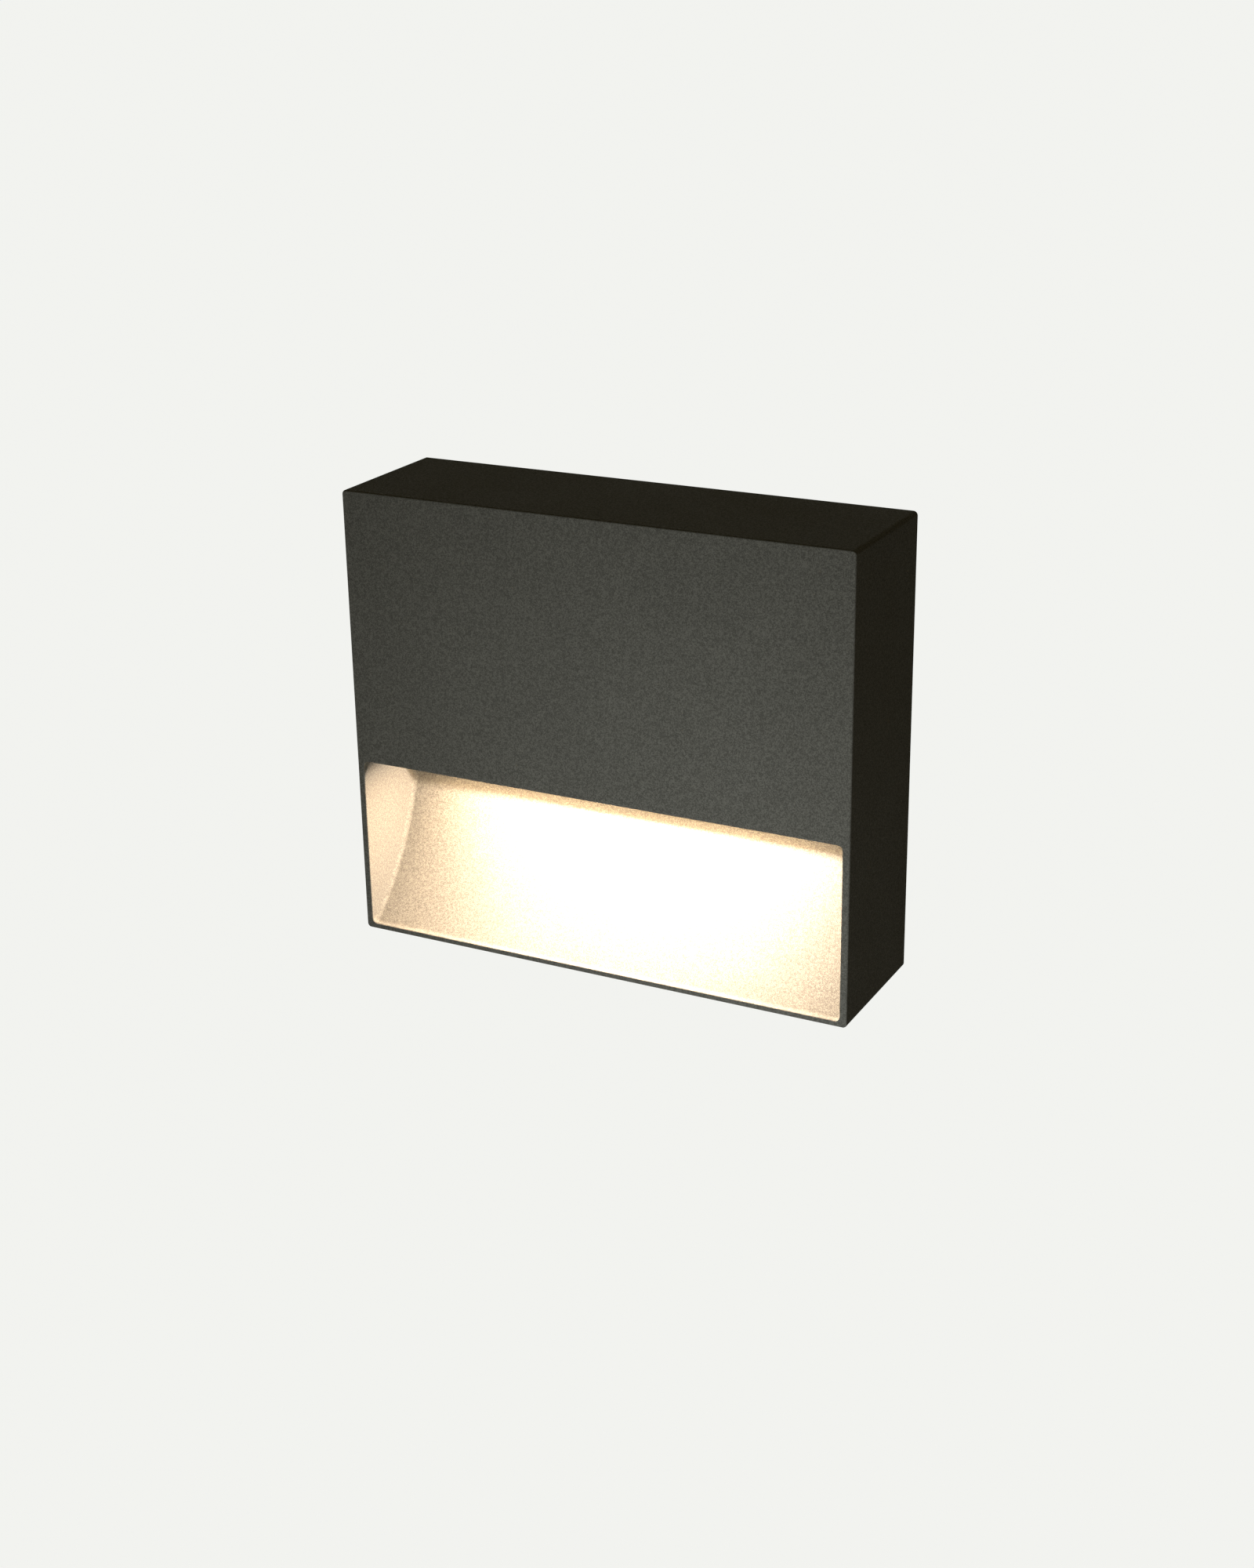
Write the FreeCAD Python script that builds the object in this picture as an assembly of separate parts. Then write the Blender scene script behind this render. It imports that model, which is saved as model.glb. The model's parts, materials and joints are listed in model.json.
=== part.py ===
import FreeCAD, Part
import math
import os

from FreeCAD import Vector

# Outdoor wall lantern: a shallow die-cast box whose lower half opens in a scooped light recess.
# A row of LEDs hides above the recess ceiling and washes the scoop from above. The box pushes onto
# a mounting tray that is screwed to the wall, and two grub screws in its underside lock it there.
#
# Millimetres. X runs right, +Y runs into the wall and +Z runs up. The origin lies on the wall
# plane, midway between the two wall-fixing slots.

# ---------------------------------------------------------------- driving dimensions

body_width = 150.0
body_height = 130.0
body_depth = 42.0
corner_radius = 1.2            # corners of the front outline
front_edge_radius = 0.5        # rounding around the front face

front_wall = 2.5
skirt_wall = 2.0               # wall of the rear skirt that hides the tray
gasket_ledge = 2.5             # step inside the skirt that lands on the body gasket

window_side_border = 2.1
window_bottom_border = 1.7
window_height = 50.0
window_edge_radius = 0.3
recess_corner_radius = 1.4
recess_root_radius = 1.3       # where the recess walls meet the scoop
scoop_lip_depth = 1.6          # flat sill between the front face and the foot of the scoop
scoop_crown_rise = 6.5         # height of the scoop's deepest line above the recess ceiling
scoop_crown_wall = 2.1         # metal between that line and the gasket ledge
scoop_wall = 2.5
ceiling_thickness = 2.5

slot_end_gap = 14.9            # from the end of the light slot to the side of the recess
slot_width = 10.5
slot_corner_radius = 2.0
lens_front_gap = 0.2
lens_margin = 1.8              # how far the lens overlaps the slot, front and back
lens_end_margin = 2.5
lens_thickness = 2.0
lens_gasket_thickness = 0.8
lens_gasket_inset = 0.3

led_pitch = 10.4
led_end_gap = 11.0             # from the end of the slot to the nearest place for an LED
led_length = 3.5
led_width = 2.8
led_height = 0.8
led_polarity_corner = 0.35     # cut corner that marks the cathode
led_air_gap = 0.7              # between the LED faces and the lens
board_width = 10.0
board_thickness = 1.6
board_end_margin = 5.5
board_tab = 3.5                # solder tab past the right-hand end of the board
board_tab_inset = 1.5          # from the lead's joint to the end of the tab
board_lead_spacing = 5.0
thermal_pad_thickness = 0.5
carrier_web = 4.0
carrier_flange = 1.2
carrier_corner_radius = 1.0
carrier_notch_length = 5.0
carrier_boss_radius = 3.2
carrier_boss_gap = 0.3         # between a boss and the end of the lens
carrier_end_gap = 4.0          # from the screw axis to the end of the carrier

standoff = 4.0                 # height of the cast bosses behind the front wall
standoff_radius = 3.6
earth_boss_radius = 4.2
pad_rib_width = 4.0
pad_rib_inset = 17.0           # from the ends of the driver
pad_rib_margin = 2.0

driver_height = 34.0
driver_thickness = 16.0
driver_shell = 1.6
driver_corner_radius = 2.0
driver_cavity_radius = 1.0
driver_floor_gap = 4.6         # between the driver and the LED carrier
driver_supply_gap = 18.0       # between the plug and the driver
driver_end_gap = 24.5          # between the driver and the right-hand wall
driver_ear_length = 7.0
driver_ear_height = 10.0
driver_ear_thickness = 2.5
potting_recess = 0.8

tray_clearance = 0.4           # between the tray rim and the housing skirt
tray_base = 2.5
tray_rim = 3.0
tray_depth = 10.0
tray_corner_radius = 1.4
tray_boss_radius = 3.8
gasket_thickness = 1.5
gasket_inset = 0.2

fixing_spacing = 70.0
fixing_slot_length = 9.0
fixing_slot_width = 5.0

entry_z = 30.0
entry_spacing = 34.0           # between the two cable entries
entry_hole_radius = 9.0
grommet_clearance = 0.15
grommet_lip = 2.5
grommet_lip_thickness = 1.4
grommet_wall = 1.6
grommet_cone_length = 6.0
grommet_shoulder = 0.5
grommet_throat = 3.0           # depth of the hole that grips the cable
cable_radius = 4.0

pole_pitch = 7.0
terminal_side_gap = 1.1        # between the terminal block and the tray rim
terminal_width = 24.0
terminal_height = 38.0
terminal_thickness = 10.0
terminal_boss_height = 3.0
moulding_corner_radius = 1.5
contact_width = 5.4
contact_thickness = 6.0
contact_end = 3.2              # bar length past the blade and past the clamp screw
socket_inset = 7.5             # blade sockets, from the left of the terminal block
clamp_inset = 19.0             # clamp screws, from the left of the terminal block
clamp_head_radius = 2.4
clamp_hole_radius = 2.6
clamp_sink = 0.4               # clamp screw heads below the face of the block
clamp_shank = 2.2
clamp_groove_width = 0.7
clamp_groove_depth = 0.8
wire_entry_radius = 1.8
wire_seat_radius = 1.4
wire_entry_offset = 0.6        # wire entries, behind the middle of the contacts
block_screw_inset = 3.5        # fixing screws, from the ends of either block

plug_width = 14.0
plug_height = 34.0
plug_floor_gap = 2.0           # between the plug and the LED carrier
plug_gap = 1.5                 # between the plug and the terminal block
plug_screw_floor = 5.0         # moulding clamped under each screw head
blade_thickness = 0.8
blade_width = 4.0
blade_reach = 8.5              # length of blade behind the plug
blade_root = 4.0               # length of blade held in the plug
blade_clearance = 0.1
blade_tip_gap = 0.5
socket_mouth = 0.4             # widening of the moulding round each blade

lock_x = 50.0
lock_setback = 18.0            # grub screw axis, ahead of the wall
lock_radius = 2.0
lock_length = 10.0
lock_sink = 1.5                # screw foot above the underside
lock_tip_chamfer = 0.6
lock_tip_gap = 0.05
lock_socket_width = 2.0
lock_socket_depth = 2.4
lock_boss_radius = 4.5
lock_boss_height = 5.5
lug_width = 12.0
lug_thickness = 2.5
lug_tip_margin = 1.0           # lug ahead of the screw tip
lug_gusset_width = 2.0
lug_gusset_height = 7.5

tongue_x = 36.0
tongue_width = 10.0
tongue_thickness = 2.5
tongue_drop = 5.5              # tongue centre below the inside of the top wall
rail_clearance = 0.3
rail_wall = 1.6
rail_depth = 7.0
rail_ledge_gap = 0.5           # between the rails and the gasket

rib_spacing = 24.0             # stiffening ribs behind the scoop
rib_thickness = 2.0
rib_height = 30.0
rib_setback = 16.0             # back edge of the ribs, ahead of the wall

m3_radius = 1.5
m3_head_radius = 2.75
m3_head_height = 2.0
m3_bite = 4.5                  # thread engaged in a boss
m4_radius = 2.0
m4_head_radius = 3.75
m4_head_height = 2.5
m4_bite = 4.0
thread_clearance = 0.05
shank_clearance = 0.2
head_clearance = 0.3
head_crown = 0.4               # rounding of a pan head, as a share of its height
drive_width = 1.6              # drive size, in shank radii
drive_depth = 0.6              # drive depth, as a share of the head's height
head_sink = 0.6                # counterbored heads below the surface
blind_floor = 1.0              # metal left under a blind hole

lead_radius = 1.0
led_lead_radius = 0.7
ring_radius = 4.0
ring_thickness = 0.8
ring_neck = 0.8                # from the ring's rim to its barrel
barrel_radius = 1.5
barrel_length = 5.0
bend_share = 0.45              # share of a run that each of its bends may take
supply_lead_step = 1.5         # forward step of the supply leads, which is their slack
supply_lead_lift = 1.5         # spread of the supply leads, up and down
led_lead_spread = 2.0          # LED leads at the driver, from its middle plane
led_lead_drop = 1.0            # LED leads at the driver, below its middle
led_lead_first_bend = 5.0      # below where the LED leads leave the driver
led_lead_last_bend = 12.0
earth_lead_straight = 4.5      # run of the housing earth lead as it leaves the plug
earth_lead_first_rise = 4.0
earth_lead_last_rise = 8.9
earth_lead_lean = 1.5
earth_lead_setback = 4.5       # housing earth lead, behind the faces of the cast bosses

bite = 0.5                     # depth that fused features reach into each other
clear_cut = 1.0                # how far a cutting tool runs past a face

# ---------------------------------------------------------------- places worked out from them

half_width = body_width / 2
half_height = body_height / 2
front_y = -body_depth
front_inside_y = front_y + front_wall
main_wall = skirt_wall + gasket_ledge
inside_x = half_width - main_wall
inside_z = half_height - main_wall
skirt_x = half_width - skirt_wall
skirt_z = half_height - skirt_wall
ledge_y = -(tray_depth + gasket_thickness)

window_x = half_width - window_side_border
window_bottom = -half_height + window_bottom_border
window_top = window_bottom + window_height
ceiling_top = window_top + ceiling_thickness
scoop_crown_y = ledge_y - scoop_crown_wall
scoop_rise = window_height + scoop_crown_rise
scoop_run = scoop_crown_y - front_y - scoop_lip_depth
scoop_radius = (scoop_run ** 2 + scoop_rise ** 2) / (2 * scoop_run)
scoop_centre_y = scoop_crown_y - scoop_radius
scoop_centre_z = window_top + scoop_crown_rise

slot_half = window_x - slot_end_gap
lens_front_y = front_inside_y + lens_front_gap
slot_front_y = lens_front_y + lens_margin
slot_back_y = slot_front_y + slot_width
lens_back_y = slot_back_y + lens_margin
lens_half = slot_half + lens_end_margin
led_y = (slot_front_y + slot_back_y) / 2
lens_bottom = ceiling_top + lens_gasket_thickness
lens_top = lens_bottom + lens_thickness
led_face_z = lens_top + led_air_gap
board_bottom = led_face_z + led_height
board_top = board_bottom + board_thickness
pad_top = board_top + thermal_pad_thickness
carrier_top = pad_top + carrier_web
led_count = int(2 * (slot_half - led_end_gap) / led_pitch) + 1
board_half = (led_count - 1) * led_pitch / 2 + led_length / 2 + board_end_margin
board_front_y = led_y - board_width / 2
board_back_y = led_y + board_width / 2
board_tab_x = board_half + board_tab - board_tab_inset
carrier_boss_x = lens_half + carrier_boss_gap + carrier_boss_radius
carrier_half = carrier_boss_x + carrier_end_gap

tray_x = skirt_x - tray_clearance
tray_z = skirt_z - tray_clearance
terminal_left = -(tray_x - tray_rim) + terminal_side_gap
terminal_right = terminal_left + terminal_width
terminal_mid_x = (terminal_left + terminal_right) / 2
terminal_back_y = -(tray_base + terminal_boss_height)
terminal_front_y = terminal_back_y - terminal_thickness
contact_y = (terminal_back_y + terminal_front_y) / 2
contact_front_y = contact_y - contact_thickness / 2
socket_x = terminal_left + socket_inset
clamp_x = terminal_left + clamp_inset

standoff_y = front_inside_y + standoff
plug_back_y = terminal_front_y - plug_gap
plug_bottom = carrier_top + plug_floor_gap
plug_right = socket_x + plug_width / 2
pole_mid_z = plug_bottom + plug_height / 2
earth_z, neutral_z, live_z = [pole_mid_z + i * pole_pitch for i in (-1, 0, 1)]
pole_z = (earth_z, neutral_z, live_z)
plug_screw_z = [pole_mid_z + side * (plug_height / 2 - block_screw_inset) for side in (-1, 1)]
terminal_screw_z = [pole_mid_z + side * (terminal_height / 2 - block_screw_inset) for side in (-1, 1)]

driver_left = plug_right + driver_supply_gap
driver_right = inside_x - driver_end_gap
driver_bottom = carrier_top + driver_floor_gap
driver_top = driver_bottom + driver_height
driver_mid_z = (driver_bottom + driver_top) / 2
driver_back_y = standoff_y + driver_thickness
driver_mid_y = (standoff_y + driver_back_y) / 2
driver_screw_x = (driver_left - driver_ear_length / 2, driver_right + driver_ear_length / 2)

lock_y = -lock_setback
lock_foot_z = -half_height + lock_sink
lug_bottom = lock_foot_z + lock_length + lock_tip_gap
tongue_z = inside_z - tongue_drop
rail_back_y = ledge_y - rail_ledge_gap
rail_front_y = rail_back_y - rail_depth

entry_left = Vector(-entry_spacing / 2, 0, entry_z)
entry_right = Vector(entry_spacing / 2, 0, entry_z)

# Routes of the held leads, from one end to the other.
housing_earth_x = plug_right + 7.5
housing_earth_z = pole_mid_z + 14.5
housing_earth_depth = standoff_y + earth_lead_setback
tray_earth_x = terminal_right + 24.5
tray_earth_z = 8.0


# ---------------------------------------------------------------- shape helpers

def block(x, y, z):
    """A box between two limits on each axis."""
    size = [high - low for low, high in (x, y, z)]
    return Part.makeBox(*size, Vector(x[0], y[0], z[0]))


def span(middle, width):
    """The two limits of a width centred on a value."""
    return (middle - width / 2, middle + width / 2)


def rounded_block(x, y, z, radius, axis):
    """A box with the four edges along one axis rounded."""
    solid = block(x, y, z)
    edges = [e for e in solid.Edges if abs(e.Curve.Direction.dot(axis)) > 0.999]
    return solid.makeFillet(radius, edges)


def panel(x, y, z, radius):
    """A box whose outline is rounded as seen from the front."""
    return rounded_block(x, y, z, radius, Vector(0, 1, 0))


def strip(x, y, z, radius):
    """A box whose outline is rounded as seen from above."""
    return rounded_block(x, y, z, radius, Vector(0, 0, 1))


def rod(centre, axis, radius, length):
    return Part.makeCylinder(radius, length, Vector(*centre), Vector(*axis))


def obround(x, z, y, length, width):
    """A slot-shaped prism along Y, its long side along X."""
    reach = (length - width) / 2
    middle = block((x - reach, x + reach), y, span(z, width))
    ends = [rod((x + side * reach, y[0], z), (0, 1, 0), width / 2, y[1] - y[0]) for side in (-1, 1)]
    return middle.fuse(ends).removeSplitter()


def hexagon_socket(centre, axis, across_flats, depth):
    """A hexagonal prism for a socket drive, from centre along axis."""
    along = Vector(*axis)
    side = Vector(1, 0, 0) if abs(along.x) < 0.5 else Vector(0, 0, 1)
    other = along.cross(side)
    reach = across_flats / math.sqrt(3)
    turns = [math.radians(60 * i) for i in range(7)]
    start = Vector(*centre)
    corners = [start + side * (reach * math.cos(t)) + other * (reach * math.sin(t)) for t in turns]
    return Part.Face(Part.makePolygon(corners)).extrude(along * depth)


def pan_screw(seat, axis, size, length):
    """A pan-head screw: seat is under the head, and axis is the way the shank runs."""
    radius, head_radius, head_height = size
    along = Vector(*axis)
    head = rod(seat, tuple(-along), head_radius, head_height)
    circles = [e for e in head.Edges if isinstance(e.Curve, Part.Circle)]
    crown_edge = max(circles, key=lambda e: e.CenterOfMass.dot(-along))
    head = head.makeFillet(head_height * head_crown, [crown_edge])
    screw = head.fuse(rod(seat, axis, radius, length)).removeSplitter()
    crown = Vector(*seat) - along * head_height
    return screw.cut(hexagon_socket(tuple(crown), axis, radius * drive_width, head_height * drive_depth))


def m3_screw(seat, axis, length):
    return pan_screw(seat, axis, (m3_radius, m3_head_radius, m3_head_height), length)


def m4_screw(seat, axis, length):
    return pan_screw(seat, axis, (m4_radius, m4_head_radius, m4_head_height), length)


def lead(route, radius):
    """An insulated lead on straight runs joined by tangent arcs as large as the runs allow."""
    points = [Vector(*p) for p in route]
    edges = []
    radii = []
    start = points[0]
    for before, corner, after in zip(points, points[1:], points[2:]):
        back = (before - corner).normalize()
        onward = (after - corner).normalize()
        half_turn = (math.pi - back.getAngle(onward)) / 2
        run = min((before - corner).Length, (after - corner).Length) * bend_share
        bend = run / math.tan(half_turn)
        entry = corner + back * run
        leave = corner + onward * run
        inner = corner + (back + onward).normalize() * (bend / math.cos(half_turn) - bend)
        edges.append(Part.LineSegment(start, entry).toShape())
        edges.append(Part.Arc(entry, inner, leave).toShape())
        radii.append(round(bend, 1))
        start = leave
    edges.append(Part.LineSegment(start, points[-1]).toShape())
    path = Part.Wire(edges)
    section = Part.Wire(Part.makeCircle(radius, points[0], (points[1] - points[0]).normalize()))
    tube = path.makePipeShell([section], True, False)
    share = tube.Volume / (math.pi * radius ** 2 * path.Length)
    print(f"lead: length {path.Length:.1f}, radii {radii}, volume {share:.4f} of section x length")
    return tube


def ring_lug(centre, axis, toward):
    """A crimp ring lug: its ring lies on the boss at centre and its barrel points along toward."""
    seat = Vector(*centre)
    up = Vector(*axis)
    out = Vector(*toward)
    side = up.cross(out) * barrel_radius
    near = seat + out * (ring_radius / 2)
    far = seat + out * (ring_radius + 2 * ring_neck)
    outline = Part.makePolygon([near + side, far + side, far - side, near - side, near + side])
    neck = Part.Face(outline).extrude(up * ring_thickness)
    barrel_start = seat + out * (ring_radius + ring_neck) + up * barrel_radius
    barrel = rod(tuple(barrel_start), toward, barrel_radius, barrel_length)
    lug = rod(centre, axis, ring_radius, ring_thickness).fuse([neck, barrel]).removeSplitter()
    hole_start = seat - up * clear_cut
    return lug.cut(rod(tuple(hole_start), axis, m4_radius + thread_clearance, ring_thickness + 2 * clear_cut))


def barrel_mouth(centre, axis, toward):
    """Where a lead meets the barrel of a ring lug."""
    out = Vector(*toward) * (ring_radius + ring_neck + barrel_length)
    return Vector(*centre) + out + Vector(*axis) * barrel_radius


# ---------------------------------------------------------------- housing

def scoop_y(z, wall):
    """Y of the scoop at a height, with a wall thickness added behind it."""
    reach = scoop_radius + wall
    return scoop_centre_y + math.sqrt(reach ** 2 - (z - scoop_centre_z) ** 2)


def scoop_prism(bottom, top, far_y, wall, half_length):
    """A prism along X between the scoop's curve and a flat side at far_y."""
    x = -half_length
    low, middle, high = [Vector(x, scoop_y(z, wall), z) for z in (bottom, (bottom + top) / 2, top)]
    far_low = Vector(x, far_y, bottom)
    far_high = Vector(x, far_y, top)
    edges = [
        Part.Arc(low, middle, high).toShape(),
        Part.LineSegment(high, far_high).toShape(),
        Part.LineSegment(far_high, far_low).toShape(),
        Part.LineSegment(far_low, low).toShape(),
    ]
    return Part.Face(Part.Wire(edges)).extrude(Vector(2 * half_length, 0, 0))


def outer_box():
    solid = panel((-half_width, half_width), (front_y, 0), (-half_height, half_height), corner_radius)
    rim = [e for e in solid.Edges if e.BoundBox.YMax < front_y + front_edge_radius]
    return solid.makeFillet(front_edge_radius, rim)


def housing_cavity():
    """Everything hollow behind the front wall, the recess ceiling and the scoop."""
    upper = panel((-inside_x, inside_x), (front_inside_y, clear_cut), (ceiling_top, inside_z), corner_radius)
    lower = scoop_prism(-inside_z, ceiling_top, clear_cut, scoop_wall, inside_x)
    skirt = panel((-skirt_x, skirt_x), (ledge_y, clear_cut), (-skirt_z, skirt_z), corner_radius)
    return upper.fuse([lower, skirt])


def light_recess():
    """The space in front of the scoop, with its corners and the root of its walls rounded."""
    mouth_y = front_y - clear_cut
    prism = scoop_prism(window_bottom - clear_cut, window_top + clear_cut, mouth_y, 0, half_width)
    outline = panel((-window_x, window_x), (mouth_y, 0), (window_bottom, window_top), recess_corner_radius)
    solid = prism.common(outline)
    root = [e for e in solid.Edges if e.BoundBox.YMin > front_y]
    return solid.makeFillet(recess_root_radius, root)


def m3_bosses():
    """X and Z of each cast boss behind the front wall."""
    driver = [(x, driver_mid_z) for x in driver_screw_x]
    plug = [(socket_x, z) for z in plug_screw_z]
    return driver + plug


def front_boss(x, z, radius):
    return rod((x, front_inside_y - bite, z), (0, 1, 0), radius, standoff + bite)


def driver_pad_ribs():
    ribs = []
    for x in (driver_left + pad_rib_inset, driver_right - pad_rib_inset):
        height = (driver_bottom + pad_rib_margin, driver_top - pad_rib_margin)
        ribs.append(block(span(x, pad_rib_width), (front_inside_y - bite, standoff_y), height))
    return ribs


def tongue_rail(x):
    """A cast eye under the top wall that guides one of the tray's tongues."""
    inner = tongue_width + 2 * rail_clearance
    low, high = span(tongue_z, tongue_thickness + 2 * rail_clearance)
    height = (low - rail_wall, inside_z + bite)
    eye = block(span(x, inner + 2 * rail_wall), (rail_front_y, rail_back_y), height)
    return eye.cut(block(span(x, inner), (rail_front_y - clear_cut, rail_back_y + clear_cut), (low, high)))


def scoop_ribs():
    """Ribs that tie the foot of the scoop to the bottom wall."""
    ribs = []
    top = -inside_z + rib_height
    for x in (-rib_spacing, 0, rib_spacing):
        rib = scoop_prism(-inside_z - bite, top, -rib_setback, scoop_wall - bite, rib_thickness / 2)
        rib.translate(Vector(x, 0, 0))
        ribs.append(rib)
    return ribs


def housing_holes():
    """The light slot and every screw hole."""
    holes = [strip((-slot_half, slot_half), (slot_front_y, slot_back_y),
                   (window_top - clear_cut, ceiling_top + clear_cut), slot_corner_radius)]
    boss_depth = front_wall + standoff - blind_floor
    for x, z in m3_bosses():
        holes.append(rod((x, front_y + blind_floor, z), (0, 1, 0), m3_radius + thread_clearance, boss_depth))
    holes.append(rod((housing_earth_x, front_y + blind_floor, housing_earth_z), (0, 1, 0),
                     m4_radius + thread_clearance, boss_depth))
    ceiling_depth = pad_top - window_top - blind_floor
    lock_depth = main_wall + lock_boss_height + clear_cut
    for side in (-1, 1):
        holes.append(rod((side * carrier_boss_x, led_y, window_top + blind_floor), (0, 0, 1),
                         m3_radius + thread_clearance, ceiling_depth))
        holes.append(rod((side * lock_x, lock_y, -half_height - clear_cut), (0, 0, 1),
                         lock_radius + thread_clearance, lock_depth + clear_cut))
    return holes


def window_edges(solid):
    """The edges where the recess meets the front face."""
    reach = clear_cut / 2
    found = []
    for edge in solid.Edges:
        box = edge.BoundBox
        on_front = box.YMax < front_y + reach
        in_height = box.ZMin > window_bottom - reach and box.ZMax < window_top + reach
        in_width = box.XMin > -window_x - reach and box.XMax < window_x + reach
        if on_front and in_height and in_width:
            found.append(edge)
    return found


def housing():
    added = [front_boss(x, z, standoff_radius) for x, z in m3_bosses()]
    added.append(front_boss(housing_earth_x, housing_earth_z, earth_boss_radius))
    added += driver_pad_ribs() + scoop_ribs()
    for side in (-1, 1):
        added.append(rod((side * carrier_boss_x, led_y, ceiling_top - bite), (0, 0, 1),
                         carrier_boss_radius, pad_top - ceiling_top + bite))
        added.append(rod((side * lock_x, lock_y, -inside_z - bite), (0, 0, 1),
                         lock_boss_radius, lock_boss_height + bite))
        added.append(tongue_rail(side * tongue_x))
    solid = outer_box().cut(housing_cavity()).fuse(added).removeSplitter()
    solid = solid.cut(light_recess()).cut(housing_holes())
    return solid.makeFillet(window_edge_radius, window_edges(solid))


def locking_screws():
    """M4 grub screws in the underside, their flat tips under the tray's lugs."""
    screws = []
    for side in (-1, 1):
        foot = (side * lock_x, lock_y, lock_foot_z)
        screw = rod(foot, (0, 0, 1), lock_radius, lock_length)
        circles = [e for e in screw.Edges if isinstance(e.Curve, Part.Circle)]
        screw = screw.makeChamfer(lock_tip_chamfer, [max(circles, key=lambda e: e.CenterOfMass.z)])
        screws.append(screw.cut(hexagon_socket(foot, (0, 0, 1), lock_socket_width, lock_socket_depth)))
    return screws


# ---------------------------------------------------------------- light source

def lens_window():
    return strip((-lens_half, lens_half), (lens_front_y, lens_back_y), (lens_bottom, lens_top),
                 slot_corner_radius)


def lens_gasket():
    outer = strip((-lens_half, lens_half), (lens_front_y, lens_back_y), (ceiling_top, lens_bottom),
                  slot_corner_radius)
    inset = lens_gasket_inset
    hole = strip((-slot_half - inset, slot_half + inset), (slot_front_y - inset, slot_back_y + inset),
                 (ceiling_top - clear_cut, lens_bottom + clear_cut), slot_corner_radius)
    return outer.cut(hole)


def led_chips():
    """The LED packages, each with its polarity corner cut."""
    chips = []
    for i in range(led_count):
        x = (i - (led_count - 1) / 2) * led_pitch
        chip = block(span(x, led_length), span(led_y, led_width), (led_face_z, board_bottom))
        upright = [e for e in chip.Edges if e.BoundBox.ZLength > led_height / 2]
        chips.append(chip.makeChamfer(led_polarity_corner, [upright[0]]))
    return chips


def led_board():
    x = (-board_half, board_half + board_tab)
    return block(x, (board_front_y, board_back_y), (board_bottom, board_top))


def thermal_pad():
    return block((-board_half, board_half), (board_front_y, board_back_y), (board_top, pad_top))


def led_carrier():
    """An aluminium channel that clamps the lens, backs the board and spreads its heat."""
    web = strip((-carrier_half, carrier_half), (lens_front_y, lens_back_y), (pad_top, carrier_top),
                carrier_corner_radius)
    height = (lens_top, pad_top + bite)
    front = block((-lens_half, lens_half), (lens_front_y, lens_front_y + carrier_flange), height)
    back = block((-lens_half, lens_half), (lens_back_y - carrier_flange, lens_back_y), height)
    cuts = [block((board_half, board_half + carrier_notch_length), (board_front_y, board_back_y),
                  (pad_top - clear_cut, carrier_top + clear_cut))]
    for side in (-1, 1):
        cuts.append(rod((side * carrier_boss_x, led_y, pad_top - clear_cut), (0, 0, 1),
                        m3_radius + shank_clearance, carrier_web + 2 * clear_cut))
    return web.fuse([front, back]).removeSplitter().cut(cuts)


def carrier_screws():
    seats = [(side * carrier_boss_x, led_y, carrier_top) for side in (-1, 1)]
    return [m3_screw(seat, (0, 0, -1), carrier_web + m3_bite) for seat in seats]


# ---------------------------------------------------------------- driver

def driver_ear(x):
    return block(span(x, driver_ear_length), (standoff_y, standoff_y + driver_ear_thickness),
                 span(driver_mid_z, driver_ear_height))


def driver_cavity(back_y):
    wall = driver_shell
    return panel((driver_left + wall, driver_right - wall), (standoff_y + wall, back_y),
                 (driver_bottom + wall, driver_top - wall), driver_cavity_radius)


def driver_case():
    case = panel((driver_left, driver_right), (standoff_y, driver_back_y), (driver_bottom, driver_top),
                 driver_corner_radius)
    case = case.fuse([driver_ear(x) for x in driver_screw_x]).removeSplitter()
    holes = [rod((x, standoff_y - clear_cut, driver_mid_z), (0, 1, 0), m3_radius + shank_clearance,
                 driver_ear_thickness + 2 * clear_cut) for x in driver_screw_x]
    return case.cut([driver_cavity(driver_back_y + clear_cut)] + holes)


def driver_potting():
    return driver_cavity(driver_back_y - potting_recess)


def driver_screws():
    seats = [(x, standoff_y + driver_ear_thickness, driver_mid_z) for x in driver_screw_x]
    return [m3_screw(seat, (0, -1, 0), driver_ear_thickness + m3_bite) for seat in seats]


# ---------------------------------------------------------------- plug and terminal block

def plug_blades():
    y = (plug_back_y - blade_root, plug_back_y + blade_reach)
    return [block(span(socket_x, blade_thickness), y, span(z, blade_width)) for z in pole_z]


def plug_block():
    solid = panel(span(socket_x, plug_width), (standoff_y, plug_back_y), span(pole_mid_z, plug_height),
                  moulding_corner_radius)
    cuts = plug_blades()
    depth = plug_back_y - standoff_y
    for z in plug_screw_z:
        cuts.append(rod((socket_x, standoff_y - clear_cut, z), (0, 1, 0), m3_radius + shank_clearance,
                        depth + clear_cut))
        cuts.append(rod((socket_x, standoff_y + plug_screw_floor, z), (0, 1, 0),
                        m3_head_radius + head_clearance, depth))
    return solid.cut(cuts)


def plug_screws():
    seats = [(socket_x, standoff_y + plug_screw_floor, z) for z in plug_screw_z]
    return [m3_screw(seat, (0, -1, 0), plug_screw_floor + m3_bite) for seat in seats]


def contact_bar(z):
    return block((socket_x - contact_end, clamp_x + contact_end), span(contact_y, contact_thickness),
                 span(z, contact_width))


def wire_entry(z, radius):
    """The hole for a supply core, from the contact's middle out to the right."""
    length = terminal_right - clamp_x + clear_cut
    return rod((clamp_x, contact_y + wire_entry_offset, z), (1, 0, 0), radius, length)


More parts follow.
